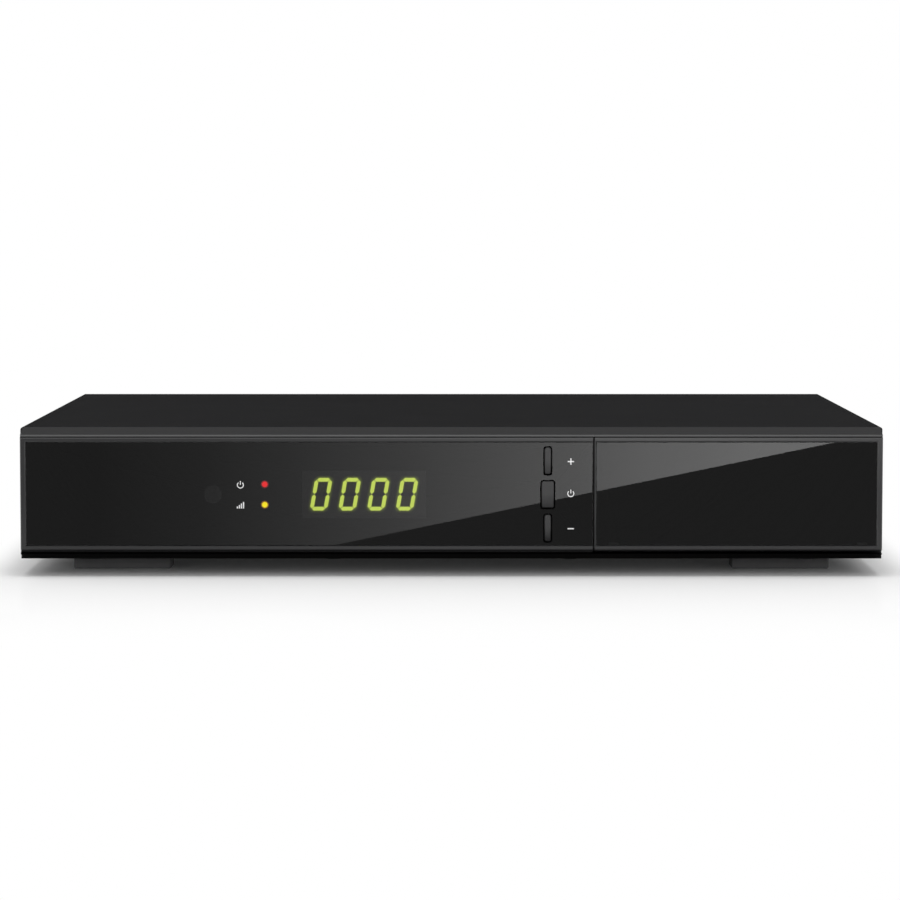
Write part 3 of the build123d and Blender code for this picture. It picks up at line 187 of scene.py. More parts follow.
lamp_power = 7.0
for name, place, size, tilt in (
    ("lamp_above", (0.0, -0.3, 1.3), 1.0, (9, 0, 0)),
    ("lamp_front_left", (-1.1, -1.4, 0.5), 0.9, (74, 0, -38)),
    ("lamp_front_right", (1.1, -1.4, 0.5), 0.9, (74, 0, 38)),
):
    lamp_data = bpy.data.lights.new(name, "AREA")
    lamp_data.size = size
    lamp_data.energy = lamp_power
    lamp = shown(name, lamp_data)
    lamp.location = place
    lamp.rotation_euler = [math.radians(angle) for angle in tilt]

# A reflector stands in front of the windows, out of every camera's sight. Their polish shows it
# as a dark sheet with a slanting edge, and above that edge a light that grows to the right.

card_distance, half, low, high = 0.09, 0.2, -0.012, 0.05
y = fascia_y - card_distance
card = flat_sheet("reflector", [(-half, y, low), (half, y, low), (half, y, high), (-half, y, high)])
for ray in ("camera", "diffuse", "transmission", "volume_scatter", "shadow"):
    setattr(card, "visible_" + ray, False)

# A place on the card shows a little higher up on the window and nearer the middle. The edge and
# the light are given by where they show.

spread = 1 + card_distance / camera_distance
drop = (spread - 1) * camera_height
edge_x, edge_height, edge_slope = -0.0345, 0.00987, 0.206
light_half, below_edge, brightness = 0.13, 0.088, 3.52
reflector = bpy.data.materials.new("reflector_sheet")
tree = empty_tree(reflector)
place = add(tree, "ShaderNodeTexCoord").outputs["Object"]
axes = add(tree, "ShaderNodeSeparateXYZ", {0: place}).outputs
window_x = add(tree, "ShaderNodeMath", {0: axes["X"], 1: spread}, operation="DIVIDE")
raised = add(tree, "ShaderNodeMath", {0: axes["Z"], 1: drop}, operation="ADD")
window_z = add(tree, "ShaderNodeMath", {0: raised, 1: spread}, operation="DIVIDE")
edge_z = {0: window_x, 1: edge_slope, 2: edge_height - edge_x * edge_slope}
edge_z = add(tree, "ShaderNodeMath", edge_z, operation="MULTIPLY_ADD")
above = add(tree, "ShaderNodeMath", {0: window_z, 1: edge_z}, operation="GREATER_THAN")
along = add(tree, "ShaderNodeMapRange", {"Value": window_x, "From Min": -light_half, "From Max": light_half})
ramp = add(tree, "ShaderNodeValToRGB", {0: along})
levels = ((0.09, 0.085), (0.21, 0.122), (0.31, 0.188), (0.44, 0.309), (0.55, 0.464), (0.65, 0.614))
levels += ((0.73, 0.773), (0.79, 0.857), (0.85, 0.966), (0.9, 1.0))
while len(ramp.color_ramp.elements) < len(levels):
    ramp.color_ramp.elements.new(0.5)
for stop, (at, level) in zip(ramp.color_ramp.elements, levels):
    stop.position = at
    stop.color = (level, level, level, 1)
glow = add(tree, "ShaderNodeMix", {"Factor": above, "A": below_edge, "B": ramp}, data_type="FLOAT")
light = add(tree, "ShaderNodeEmission", {"Color": glow, "Strength": brightness})
add(tree, "ShaderNodeOutputMaterial", {"Surface": light})
coat(reflector, card)

# ---- folded steel tray ----
# The floor, flanges and rear panel are one sheet of hot-dip galvanised steel, 0.8 mm thick, punched
# and folded. Its zinc gives pale grey crystals about 4 mm wide, each with its own shine.

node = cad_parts


def finish(name, inputs):
    """A new material: its tree, its one main shader, and the place on the object for its patterns."""
    material = bpy.data.materials.new(name)
    tree = empty_tree(material)
    shader = add(tree, "ShaderNodeBsdfPrincipled", inputs)
    add(tree, "ShaderNodeOutputMaterial", {"Surface": shader})
    place = add(tree, "ShaderNodeTexCoord").outputs["Object"]
    return material, tree, shader, place


def scale_for(width):
    """A pattern's scale, from the width of its grains in millimetres."""
    return 1000 / width


steel, tree, shader, place = finish("galvanised_sheet_steel", {"Metallic": 1.0})
crystal = add(tree, "ShaderNodeTexVoronoi", {"Vector": place, "Scale": scale_for(4.35)})
tone = add(tree, "ShaderNodeMapRange", {"Value": crystal.outputs["Color"]})
shades = {"Factor": tone, "A": linear("8f9294"), "B": linear("b4b7b8")}
shade = add(tree, "ShaderNodeMix", shades, data_type="RGBA")
rough = add(tree, "ShaderNodeMapRange", {"Value": tone, "To Min": 0.34, "To Max": 0.52})
wire(shader, {"Base Color": shade, "Roughness": rough})
coat(steel, node["base_chassis"])

# ---- top cover ----
# The cover is bent from the same sheet and powder coated in black. The baked powder leaves an
# orange-peel grain of about 0.6 mm, which takes away nearly all of its shine.

inputs = {"Base Color": linear("1d1d1e"), "Specular IOR Level": 0.02}
powder, tree, shader, place = finish("black_powder_coated_steel", inputs)
peel = {"Vector": place, "Scale": scale_for(0.625), "Detail": 3.0, "Roughness": 0.55}
peel = add(tree, "ShaderNodeTexNoise", peel)
bump = add(tree, "ShaderNodeBump", {"Height": peel, "Strength": 0.35, "Distance": 0.00012})
patch = add(tree, "ShaderNodeTexNoise", {"Vector": place, "Scale": scale_for(22.2), "Detail": 2.0})
rough = add(tree, "ShaderNodeMapRange", {"Value": patch, "To Min": 0.86, "To Max": 0.94})
wire(shader, {"Roughness": rough, "Normal": bump})
coat(powder, node["top_cover"])

# ---- front moulding and flap ----
# Both are injection moulded in black ABS. The mould's spark-eroded grain, drawn coarser than the
# real one at 0.3 mm so that it shows, leaves them satin, and edges catch a soft line of light. The
# groove above the fascia and all that lies below it are in deep shade, and drawn nearly black.

shade_top, face_bottom, groove_z, groove_half = 0.0075, 0.0078, 0.04232, 0.00016
abs_plastic, tree, shader, place = finish("black_abs_satin", {"IOR": 1.53})
pits = add(tree, "ShaderNodeTexNoise", {"Vector": place, "Scale": scale_for(0.3125), "Detail": 2.0})
bump = add(tree, "ShaderNodeBump", {"Height": pits, "Strength": 0.2, "Distance": 0.00005})
wear = add(tree, "ShaderNodeTexNoise", {"Vector": place, "Scale": scale_for(16.7), "Detail": 3.0})
rough = add(tree, "ShaderNodeMapRange", {"Value": wear, "To Min": 0.30, "To Max": 0.38})
level = add(tree, "ShaderNodeSeparateXYZ", {0: place}).outputs["Z"]
lit = add(tree, "ShaderNodeMapRange", {"Value": level, "From Min": shade_top, "From Max": face_bottom})
groove = add(tree, "ShaderNodeMath", {0: level, 1: groove_z, 2: groove_half}, operation="COMPARE")
face = add(tree, "ShaderNodeMath", {0: 1.0, 1: groove}, operation="SUBTRACT")
lit = add(tree, "ShaderNodeMath", {0: lit, 1: face}, operation="MINIMUM")
shades = {"Factor": lit, "A": linear("020202"), "B": linear("1e1e1f")}
shade = add(tree, "ShaderNodeMix", shades, data_type="RGBA")
shines = {"Factor": lit, "A": linear("000000"), "B": linear("ffffff")}
shine = add(tree, "ShaderNodeMix", shines, data_type="RGBA")
wire(shader, {"Base Color": shade, "Specular Tint": shine, "Roughness": rough, "Normal": bump})
coat(abs_plastic, node["front_bezel"], node["front_door"])

# ---- smoked windows ----
# Cast acrylic, 1.5 mm over the display and 0.8 mm on the flap, dyed nearly black and polished. It
# mirrors the room faintly, with long ripples, and lets only bright lamps and digits through.

smoke = linear("525252")
inputs = {"Base Color": smoke, "Transmission Weight": 1.0, "Roughness": 0.012, "IOR": 1.49}
acrylic, tree, shader, place = finish("smoked_acrylic_polished", inputs)
ripple = add(tree, "ShaderNodeTexNoise", {"Vector": place, "Scale": scale_for(71.4), "Detail": 1.0})
bump = add(tree, "ShaderNodeBump", {"Height": ripple, "Strength": 0.02, "Distance": 0.0002})
wire(shader, {"Normal": bump})
coat(acrylic, node["front_window"], node["door_window"])

# ---- keys ----
# Three small keys in satin black ABS, a little proud of the window, each with a dark gap round it.
# The lower half of each face curves back, so that it takes on less light further down.

key_names = ("channel_up", "power", "channel_down")
key_boxes = [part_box(name + "_button") for name in key_names]


def middle(box):
    """The middle of a node's box."""
    return [(a + b) / 2 for a, b in zip(*box)]


key_middles = [middle(box) for box in key_boxes]
key_pitch = key_middles[0][2] - key_middles[1][2]
crown_depth = -55.0
inputs = {"Base Color": linear("1c1c1d"), "IOR": 1.53}
satin_key, tree, shader, place = finish("black_abs_key_satin", inputs)
haze = add(tree, "ShaderNodeTexNoise", {"Vector": place, "Scale": scale_for(2.5), "Detail": 2.0})
rough = add(tree, "ShaderNodeMapRange", {"Value": haze, "To Min": 0.38, "To Max": 0.46})
height = add(tree, "ShaderNodeSeparateXYZ", {0: place}).outputs["Z"]
height = add(tree, "ShaderNodeMath", {0: height, 1: key_middles[1][2]}, operation="SUBTRACT")
height = add(tree, "ShaderNodeMath", {0: height, 1: key_pitch / 2, 2: -key_pitch / 2}, operation="WRAP")
below = add(tree, "ShaderNodeMath", {0: height, 1: 0.0}, operation="MINIMUM")
crown = add(tree, "ShaderNodeMath", {0: below, 1: 2.0}, operation="POWER")
crown = add(tree, "ShaderNodeMath", {0: crown, 1: crown_depth}, operation="MULTIPLY")
bump = add(tree, "ShaderNodeBump", {"Height": crown, "Strength": 1.0, "Distance": 1.0})
wire(shader, {"Roughness": rough, "Normal": bump})
coat(satin_key, *[node[name + "_button"] for name in key_names])

# ---- key hole frames ----
# Behind the window's face each key runs in a thin frame of matt black film, pressed into the hole.
# It is painted shade: a dark sheet that keeps stray light out of the gap, so a black line runs round every
# key.

inputs = {"Roughness": 1.0, "Specular IOR Level": 0.04}
shade_sheet, tree, shader, place = finish("matt_black_painted_shade_film", inputs)
fibre = add(tree, "ShaderNodeTexNoise", {"Vector": place, "Scale": scale_for(0.4)})
shades = {"Factor": fibre, "A": linear("030303"), "B": linear("0a0a0a")}
wire(shader, {"Base Color": add(tree, "ShaderNodeMix", shades, data_type="RGBA")})


def closed_mesh(name, points, faces):
    """A closed mesh from points in metres, its faces turned outward."""
    mesh = bpy.data.meshes.new(name)
    mesh.from_pydata(points, [], faces)
    shape = bmesh.new()
    shape.from_mesh(mesh)
    bmesh.ops.recalc_face_normals(shape, faces=shape.faces)
    shape.to_mesh(mesh)
    shape.free()
    return mesh


def made(name, body, material, points, faces):
    """A closed piece in that material, which moves with the body."""
    piece = shown(name, closed_mesh(name, points, faces))
    coat(material, piece)
    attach(piece, body)
    return piece


def round_corners(half_width, half_height, radius, steps=6):
    """The outline of an upright rectangle with round corners, as (x, z) from its middle."""
    outline = []
    for quarter in range(4):
        for step in range(steps + 1):
            angle = math.pi / 2 * (quarter + step / steps)
            x = (half_width - radius) * (1 if quarter in (0, 3) else -1) + radius * math.cos(angle)
            z = (half_height - radius) * (1 if quarter < 2 else -1) + radius * math.sin(angle)
            outline.append((x, z))
    return outline


def joined_loops(loops):
    """Faces between loops of equal length, the last one joined to the first."""
    count, size = len(loops), len(loops[0])
    return [
        (a * size + i, a * size + (i + 1) % size, b * size + (i + 1) % size, b * size + i)
        for a, b in ((k, (k + 1) % count) for k in range(count))
        for i in range(size)
    ]


# Behind the fascia each key widens to a collar that keeps it in, and its box includes that collar.
# The frame's section says how far each of its corners lies inside the hole and behind the fascia.

collar_side, collar_end, hole_radius = 0.0009, 0.0004, 0.0009
wall_side, key_side, lip_side = 0.00001, 0.00013, 0.00037
film_front, lip_front, film_back = 0.00008, 0.0009, 0.00105
section = ((wall_side, film_front), (key_side, film_front), (key_side, lip_front))
section += ((lip_side, lip_front), (lip_side, film_back), (wall_side, film_back))
for name, box, (key_x, _, key_z) in zip(key_names, key_boxes, key_middles):
    half_width = (box[1][0] - box[0][0]) / 2 - collar_side
    half_height = (box[1][2] - box[0][2]) / 2 - collar_end
    loops = [
        [
            (key_x + x, fascia_y + back, key_z + z)
            for x, z in round_corners(half_width - inward, half_height - inward, hole_radius - inward)
        ]
        for inward, back in section
    ]
    # Each frame is a dark sheet of painted shade in the gap round its key.
    made("key_frame_" + name, "case", shade_sheet, sum(loops, []), joined_loops(loops))

# ---- printed marks ----
# White screen-printed marks on the window, two hundredths of a millimetre thick: a standby mark and
# signal bars beside the lamps, and plus, standby and minus beside the keys.

ink, tree, shader, place = finish("white_screen_ink", {"Roughness": 0.6})
speck = add(tree, "ShaderNodeTexNoise", {"Vector": place, "Scale": scale_for(0.25)})
shades = {"Factor": speck, "A": linear("d4d4d4"), "B": linear("ececec")}
wire(shader, {"Base Color": add(tree, "ShaderNodeMix", shades, data_type="RGBA")})
ink_front, ink_back = fascia_y + 0.00003, fascia_y + 0.000048


def printed(outline):
    """A closed flat mark with this outline, as its points and faces."""
    size = len(outline)
    points = [(x, y, z) for y in (ink_front, ink_back) for x, z in outline]
    faces = [tuple(range(size)), tuple(range(2 * size - 1, size - 1, -1))]
    faces += [(i, (i + 1) % size, size + (i + 1) % size, size + i) for i in range(size)]
    return points, faces


def bar_mark(x, z, width, height):
    """A printed upright rectangle round (x, z)."""
    a, b = width / 2, height / 2
    return [(x - a, z - b), (x + a, z - b), (x + a, z + b), (x - a, z + b)]


def circle_points(x, z, radius, turns):
    """The places on a circle round (x, z) at these turns."""
    return [(x + radius * math.cos(turn), z + radius * math.sin(turn)) for turn in turns]


def arc_mark(x, z, radius, stroke, gap, steps=28):
    """A printed ring with a gap at its top, gap degrees wide."""
    turns = [math.radians(90 + gap / 2 + (360 - gap) * i / steps) for i in range(steps + 1)]
    return circle_points(x, z, radius, turns) + circle_points(x, z, radius - stroke, turns[::-1])


def standby_marks(x, z, radius=0.00105):
    """The standby mark: a ring open at its top, with a bar in the opening."""
    stroke = radius * 0.26
    return [arc_mark(x, z, radius, stroke, 80), bar_mark(x, z + radius * 0.62, stroke, radius * 1.1)]


def plus_mark(x, z, size, stroke):
    """A printed plus as one outline."""
    a, b = size / 2, stroke / 2
    corners = [(b, b), (b, a), (-b, a), (-b, b), (-a, b), (-a, -b)]
    corners += [(-u, -v) for u, v in corners]
    return [(x + u, z + v) for u, v in corners]


lamp_label_x, lamp_standby_z, signal_foot_z = -0.0636, 0.0279, 0.0208
key_label_x, key_standby_z, plus_z, minus_z = 0.0360, 0.0253, 0.0350, 0.0147
sign_size, sign_stroke = 0.0019, 0.00036
bar_pitch, shortest, bar_growth = 0.00062, 0.0006, 0.00046
marks = standby_marks(lamp_label_x, lamp_standby_z)
for step in range(4):
    height = shortest + bar_growth * step
    x = lamp_label_x + (step - 1.5) * bar_pitch
    marks.append(bar_mark(x, signal_foot_z + height / 2, sign_stroke, height))
marks += standby_marks(key_label_x, key_standby_z)
marks.append(plus_mark(key_label_x, plus_z, sign_size, sign_stroke))
marks.append(bar_mark(key_label_x, minus_z, sign_size, sign_stroke))
points, faces = [], []
for outline in marks:
    more, sides = printed(outline)
    faces += [tuple(index + len(points) for index in side) for side in sides]
    points += more
made("window_marks", "case", ink, points, faces)

# ---- display ----
# A four-digit LED display: a matt black case with light pipes for its bars. The lit bars glow
# yellow-green through the smoked window, and the middle bars are off.

# The case's emission colour is the painted glow beside the bars.
inputs = {"Base Color": linear("020202"), "Specular IOR Level": 0.02, "Emission Color": linear("b9cd4c")}
matt_black, tree, shader, place = finish("matt_black_epoxy", inputs)
dust = add(tree, "ShaderNodeTexNoise", {"Vector": place, "Scale": scale_for(1.11)})
rough = add(tree, "ShaderNodeMapRange", {"Value": dust, "To Min": 0.72, "To Max": 0.88})

# A painted glow stands for light from the bars spilling onto the face beside them: the case itself glows,
# falling off with the distance from the ring that each digit's bars form, measured in the digit's own leaning
# frame.

digit_x, _, digit_z = middle(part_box("display_case"))
digit_pitch, digit_round, digit_slant = 0.00865, 0.0011, 10
digit_half_width, digit_half_height = 0.0022, 0.0045
halo_near, halo_far, halo_strength = 0.0004, 0.0013, 1.3
sides = add(tree, "ShaderNodeSeparateXYZ", {0: place}).outputs
high = add(tree, "ShaderNodeMath", {0: sides["Z"], 1: digit_z}, operation="SUBTRACT")
lean = {0: high, 1: -math.tan(math.radians(digit_slant)), 2: sides["X"]}
lean = add(tree, "ShaderNodeMath", lean, operation="MULTIPLY_ADD")
along = add(tree, "ShaderNodeMath", {0: lean, 1: digit_x}, operation="SUBTRACT")
turn = add(tree, "ShaderNodeMath", {0: along, 1: 0.0, 2: digit_pitch}, operation="WRAP")
turn = add(tree, "ShaderNodeMath", {0: turn, 1: digit_pitch / 2}, operation="SUBTRACT")
inside = add(tree, "ShaderNodeCombineXYZ", {"X": turn, "Y": high})
inside = add(tree, "ShaderNodeVectorMath", {0: inside}, operation="ABSOLUTE")
core = (digit_half_width - digit_round, digit_half_height - digit_round, 0)
inside = add(tree, "ShaderNodeVectorMath", {0: inside, 1: core}, operation="SUBTRACT")
beyond = add(tree, "ShaderNodeVectorMath", {0: inside, 1: (0, 0, 0)}, operation="MAXIMUM")
beyond = add(tree, "ShaderNodeVectorMath", {0: beyond}, operation="LENGTH")
ring = add(tree, "ShaderNodeMath", {0: beyond, 1: digit_round}, operation="SUBTRACT")
ring = add(tree, "ShaderNodeMath", {0: ring}, operation="ABSOLUTE")
painted_halo = {"Value": ring, "From Min": halo_near, "From Max": halo_far, "To Min": 1.0, "To Max": 0.0}
painted_halo = add(tree, "ShaderNodeMapRange", painted_halo, interpolation_type="SMOOTHSTEP")
off_middle = add(tree, "ShaderNodeMath", {0: along}, operation="ABSOLUTE")
on_digits = add(tree, "ShaderNodeMath", {0: off_middle, 1: 2 * digit_pitch}, operation="LESS_THAN")
painted_halo = add(tree, "ShaderNodeMath", {0: painted_halo, 1: on_digits}, operation="MULTIPLY")
painted_halo = add(tree, "ShaderNodeMath", {0: painted_halo, 1: halo_strength}, operation="MULTIPLY")
wire(shader, {"Roughness": rough, "Emission Strength": painted_halo})
coat(matt_black, node["display_case"])

# The light pipes and lamps are cast resin, a little uneven in brightness. They glow as much more
# strongly as the window takes away.

through_window = 1 / smoke[0]
lamp_core, lamp_edge = 0.0006, 0.00105


def resin(name, body, centre, rim, brightness, lamp=None, edge="000000"):
    """Resin in its body colour, which glows between two others. A lamp's glow fades to its edge."""
    inputs = {"Base Color": linear(body), "Roughness": 0.3, "Emission Strength": brightness}
    material, tree, shader, place = finish(name, inputs)
    uneven = add(tree, "ShaderNodeTexNoise", {"Vector": place, "Scale": scale_for(2), "Detail": 1.0})
    tones = {"Factor": uneven, "A": linear(centre), "B": linear(rim)}
    tone = add(tree, "ShaderNodeMix", tones, data_type="RGBA")
    if lamp:
        x, _, z = middle(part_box(lamp))
        flat = add(tree, "ShaderNodeVectorMath", {0: place, 1: (1, 0, 1)}, operation="MULTIPLY")
        off = add(tree, "ShaderNodeVectorMath", {0: flat, 1: (x, 0, z)}, operation="DISTANCE")
        fade = {"Value": off, "From Min": lamp_core, "From Max": lamp_edge}
        fade = add(tree, "ShaderNodeMapRange", fade, interpolation_type="SMOOTHSTEP")
        tones = {"Factor": fade, "A": tone, "B": linear(edge)}
        tone = add(tree, "ShaderNodeMix", tones, data_type="RGBA")
    wire(shader, {"Emission Color": tone})
    return material


green = resin("lit_green_resin", "2c3310", "c3d755", "b9cd4c", through_window)
unlit = resin("unlit_resin", "10120c", "000000", "000000", 0.0)
red = resin("lit_red_resin", "5a0c0c", "f02328", "e81c22", through_window, "power_led", "5c1416")
yellow = resin("lit_yellow_resin", "5c4a0a", "fff200", "ffdd0a", through_window, "signal_led", "7a4a10")
coat(green, node["display_outer_segments"])
coat(unlit, node["display_centre_segments"])
coat(red, node["power_led"])
coat(yellow, node["signal_led"])

# ---- remote control eye ----
# The receiver chip for the remote control is moulded in a resin that lets only infrared light
# through, so it looks black. A faint disc of it shows through the window.

inputs = {"Roughness": 0.7, "Specular IOR Level": 0.02}
dark_resin, tree, shader, place = finish("infrared_pass_resin", inputs)
veil = add(tree, "ShaderNodeTexNoise", {"Vector": place, "Scale": scale_for(1.43)})
shades = {"Factor": veil, "A": linear("020102"), "B": linear("040203")}
wire(shader, {"Base Color": add(tree, "ShaderNodeMix", shades, data_type="RGBA")})
coat(dark_resin, node["ir_receiver"])

# ---- switches, sockets and moulded inner parts ----
# Small components in black moulding compound or nylon, left as they come from the mould, with a
# dull grain of about 0.7 mm, drawn coarser than the real one so that it shows.

inputs = {"Base Color": linear("171718"), "Roughness": 0.55, "IOR": 1.53}
compound, tree, shader, place = finish("black_moulding_compound", inputs)
mould = add(tree, "ShaderNodeTexNoise", {"Vector": place, "Scale": scale_for(0.667), "Detail": 2.0})
wire(shader, {"Normal": add(tree, "ShaderNodeBump", {"Height": mould, "Strength": 0.2, "Distance": 0.00006})})
compound_parts = ("key_switch_bodies", "board_chips", "card_reader", "socket_tongues", "lan_socket")
compound_parts += ("optical_socket", "av_block", "scart_insert", "mains_switch_body", "mains_inlet")
coat(compound, *[node[name] for name in compound_parts])

# ---- circuit boards ----
# Glass-fibre board under green solder mask, which shows the copper tracks below as a lighter green.
# The tracks are drawn coarser than real ones, round fields 3.1 mm long. A field is half the
# pattern's unit long.

field_length = 3.125
mask, tree, shader, place = finish("green_solder_mask", {"Roughness": 0.3, "IOR": 1.5})
fields = {"Vector": place, "Scale": scale_for(2 * field_length), "Mortar Size": 0.03}
fields |= {"Color1": linear("14482a"), "Color2": linear("1a5632"), "Mortar": linear("2c7247")}
tracks = add(tree, "ShaderNodeTexBrick", fields)
wire(shader, {"Base Color": tracks})
coat(mask, node["front_board"], node["main_board"], node["power_board"])

# ---- plated metal ----
# Board screws, pillars, hinge pins and the tuner's can are zinc plated, socket shells and mains pins
# are bright nickel, and contacts have gold flash. The shine changes a little from place to place.


def plated(name, low, high, smooth, dull):
    """Plated metal between two shades and two degrees of shine."""
    material, tree, shader, place = finish(name, {"Metallic": 1.0})
    patch = add(tree, "ShaderNodeTexNoise", {"Vector": place, "Scale": scale_for(3.125), "Detail": 3.0})
    shades = {"Factor": patch, "A": linear(low), "B": linear(high)}
    shade = add(tree, "ShaderNodeMix", shades, data_type="RGBA")
    rough = add(tree, "ShaderNodeMapRange", {"Value": patch, "To Min": smooth, "To Max": dull})
    wire(shader, {"Base Color": shade, "Roughness": rough})
    return material


zinc = plated("zinc_plated_steel", "9fa3a6", "bfc2c3", 0.26, 0.4)
nickel = plated("nickel_plated_brass", "b4b1a9", "cfccc4", 0.12, 0.24)
gold = plated("gold_flashed_bronze", "b58a35", "d0a54c", 0.2, 0.3)
coat(zinc, node["board_screws"], node["board_standoffs"], node["door_hinge_pins"], node["tuner_can"])
nickel_parts = ("hdmi_socket", "usb_socket", "av_jack_shells", "scart_socket", "mains_inlet_pins")
coat(nickel, *[node[name] for name in nickel_parts])
coat(gold, node["lan_contacts"], node["card_contacts"])

# ---- case screws ----
# Seven pan-head screws in black zinc plated steel hold the cover, and four low-headed ones in plain
# zinc the front moulding. Each has a pressed cross and stands at the turn where it came tight.

black_zinc = plated("black_zinc_steel", "1c1c1e", "2a2a2c", 0.36, 0.5)


def rings(name, loops, ends):
    """A closed mesh from loops of equal length, with a point at each end to close it."""
    size = len(loops[0])
    points = sum(loops, []) + list(ends)
    faces = [
        (k * size + i, k * size + (i + 1) % size, (k + 1) * size + (i + 1) % size, (k + 1) * size + i)
        for k in range(len(loops) - 1)
        for i in range(size)
    ]
    first, last = len(points) - 2, len(points) - 1
    faces += [(first, (i + 1) % size, i) for i in range(size)]
    base = (len(loops) - 1) * size
    faces += [(last, base + i, base + (i + 1) % size) for i in range(size)]
    return closed_mesh(name, points, faces)


def grown(name, body, tree, places, turns, scale, values):
    """Runs the node tree on points, each with its turn and all with one scale, and keeps the mesh."""
    seeds = bpy.data.meshes.new(name + "_seeds")
    seeds.from_pydata(places, [], [])
    for label, data in (("turn", turns), ("size", [scale] * len(places))):
        attribute = seeds.attributes.new(label, "FLOAT_VECTOR", "POINT")
        attribute.data.foreach_set("vector", [number for row in data for number in row])
    holder = shown(name + "_seeds", seeds)
    modifier = holder.modifiers.new("grow", "NODES")
    modifier.node_group = tree
    for item in tree.interface.items_tree:
        if item.in_out == "INPUT" and item.name in values:
            modifier[item.identifier] = values[item.name]
    bpy.context.view_layer.update()
    evaluated = holder.evaluated_get(bpy.context.evaluated_depsgraph_get())
    mesh = bpy.data.meshes.new_from_object(evaluated)
    holder.modifiers.remove(modifier)
    bpy.data.objects.remove(holder)
    mesh.name = name
    piece = shown(name, mesh)
    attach(piece, body)
    return piece


def placing_tree(name, sockets):
    """A node tree with these named inputs, up to the point where it places its instances."""
    tree = bpy.data.node_groups.new(name, "GeometryNodeTree")
    tree.interface.new_socket("Points", in_out="INPUT", socket_type="NodeSocketGeometry")
    for label, kind in sockets:
        tree.interface.new_socket(label, in_out="INPUT", socket_type="NodeSocket" + kind)
    tree.interface.new_socket("Geometry", in_out="OUTPUT", socket_type="NodeSocketGeometry")
    given = add(tree, "NodeGroupInput").outputs
    turn = add(tree, "GeometryNodeInputNamedAttribute", {"Name": "turn"}, data_type="FLOAT_VECTOR")
    size = add(tree, "GeometryNodeInputNamedAttribute", {"Name": "size"}, data_type="FLOAT_VECTOR")
    turned = add(tree, "FunctionNodeEulerToRotation", {"Euler": turn.outputs["Attribute"]})
    placing = {"Points": given["Points"], "Rotation": turned, "Scale": size.outputs["Attribute"]}
    placed = add(tree, "GeometryNodeInstanceOnPoints", placing)
    real = add(tree, "GeometryNodeRealizeInstances", {"Geometry": placed})
    coated = add(tree, "GeometryNodeSetMaterial", {"Geometry": real, "Material": given["Material"]})
    add(tree, "NodeGroupOutput", {"Geometry": coated})
    return tree, given, placed


# A loop round the screw has a point at each corner of the cross, and a few more between them.

cross_half, cross_arm, cross_taper = 0.0013, 0.00035, 0.8
corner = math.atan(cross_arm / cross_half)
past_corner, past_middle = 0.22, 0.15
steps = (0, corner, corner + past_corner, math.pi / 4 - past_middle, math.pi / 4, math.pi / 4 + past_middle)
steps += (math.pi / 2 - corner - past_corner, math.pi / 2 - corner)
around = [quarter * math.pi / 2 + step for quarter in range(4) for step in steps]


def cross_reach(angle):
    """How far the cross reaches from its middle in this direction."""
    c, s = abs(math.cos(angle)) + 1e-9, abs(math.sin(angle)) + 1e-9
    return max(min(cross_half / c, cross_arm / s), min(cross_half / s, cross_arm / c))


def ring_loop(reach, z):
    """One loop round the screw's axis, at this height, with its reach in each direction."""
    return [(r * math.cos(a), r * math.sin(a), z) for r, a in zip(reach, around)]


shank_radius, shank_end, head_radius, head_height, cross_bottom = 0.0012, -0.0016, 0.0027, 0.0013, 0.00035
profile = ((shank_radius, shank_end), (shank_radius, 0.0), (head_radius, 0.0), (head_radius, 0.0004))
profile += ((0.00258, 0.00072), (0.0022, 0.00104), (0.0017, 0.00124))
loops = [ring_loop([radius] * len(around), z) for radius, z in profile]
loops.append(ring_loop([cross_reach(a) for a in around], head_height))
loops.append(ring_loop([cross_taper * cross_reach(a) for a in around], cross_bottom + 0.0001))
screw_mesh = rings("screw_shape", loops, [(0, 0, shank_end), (0, 0, cross_bottom)])
master = shown("screw_shape", screw_mesh)
tree, given, placed = placing_tree("placed_screws", (("Screw", "Object"), ("Material", "Material")))
shape = add(tree, "GeometryNodeObjectInfo", {"Object": given["Screw"]})
wire(placed, {"Instance": shape.outputs["Geometry"]})


def aimed(axis, spin):
    """The Euler turn that points a screw's head along the axis, spun about it."""
    turn = mathutils.Vector((0, 0, 1)).rotation_difference(mathutils.Vector(axis))
    return tuple((turn @ mathutils.Quaternion((0, 0, 1), spin)).to_euler())


low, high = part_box("cover_screws")
side_x, side_z = high[0] - head_height, low[2] + head_radius
rear_y, rear_z = high[1] - head_height, 0.0408
side_ys, rear_xs = (-0.05275, 0.05225), (-0.118, 0.0, 0.118)
cover_places = [(side * side_x, y, side_z) for side in (-1, 1) for y in side_ys]
cover_turns = [aimed((side, 0, 0), 0.4 + 0.9 * turn) for turn, side in enumerate((-1, -1, 1, 1))]
cover_places += [(x, rear_y, rear_z) for x in rear_xs]
cover_turns += [aimed((0, 1, 0), spin) for spin in (0.1, 0.6, 1.2)]
values = {"Screw": master, "Material": black_zinc}
screws = grown("cover_screws_detail", "case", tree, cover_places, cover_turns, (1, 1, 1), values)
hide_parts("cover_screws")

bezel_y, bezel_z = middle(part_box("bezel_screws"))[1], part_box("front_bezel")[0][2]
bezel_spacing, low_head = 0.072, 0.45
bezel_places = [((k - 1.5) * bezel_spacing, bezel_y, bezel_z) for k in range(4)]
bezel_turns = [aimed((0, 0, -1), 0.7 * k) for k in range(4)]
values = {"Screw": master, "Material": zinc}
screws = grown("bezel_screws_detail", "case", tree, bezel_places, bezel_turns, (1, 1, low_head), values)
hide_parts("bezel_screws")
bpy.data.objects.remove(master)

# ---- aerial sockets ----
# Two F sockets, turned from brass and nickel plated. A hexagonal nut holds each to the panel, and
# its barrel carries the 32 turns per inch thread that the cable's plug screws onto.

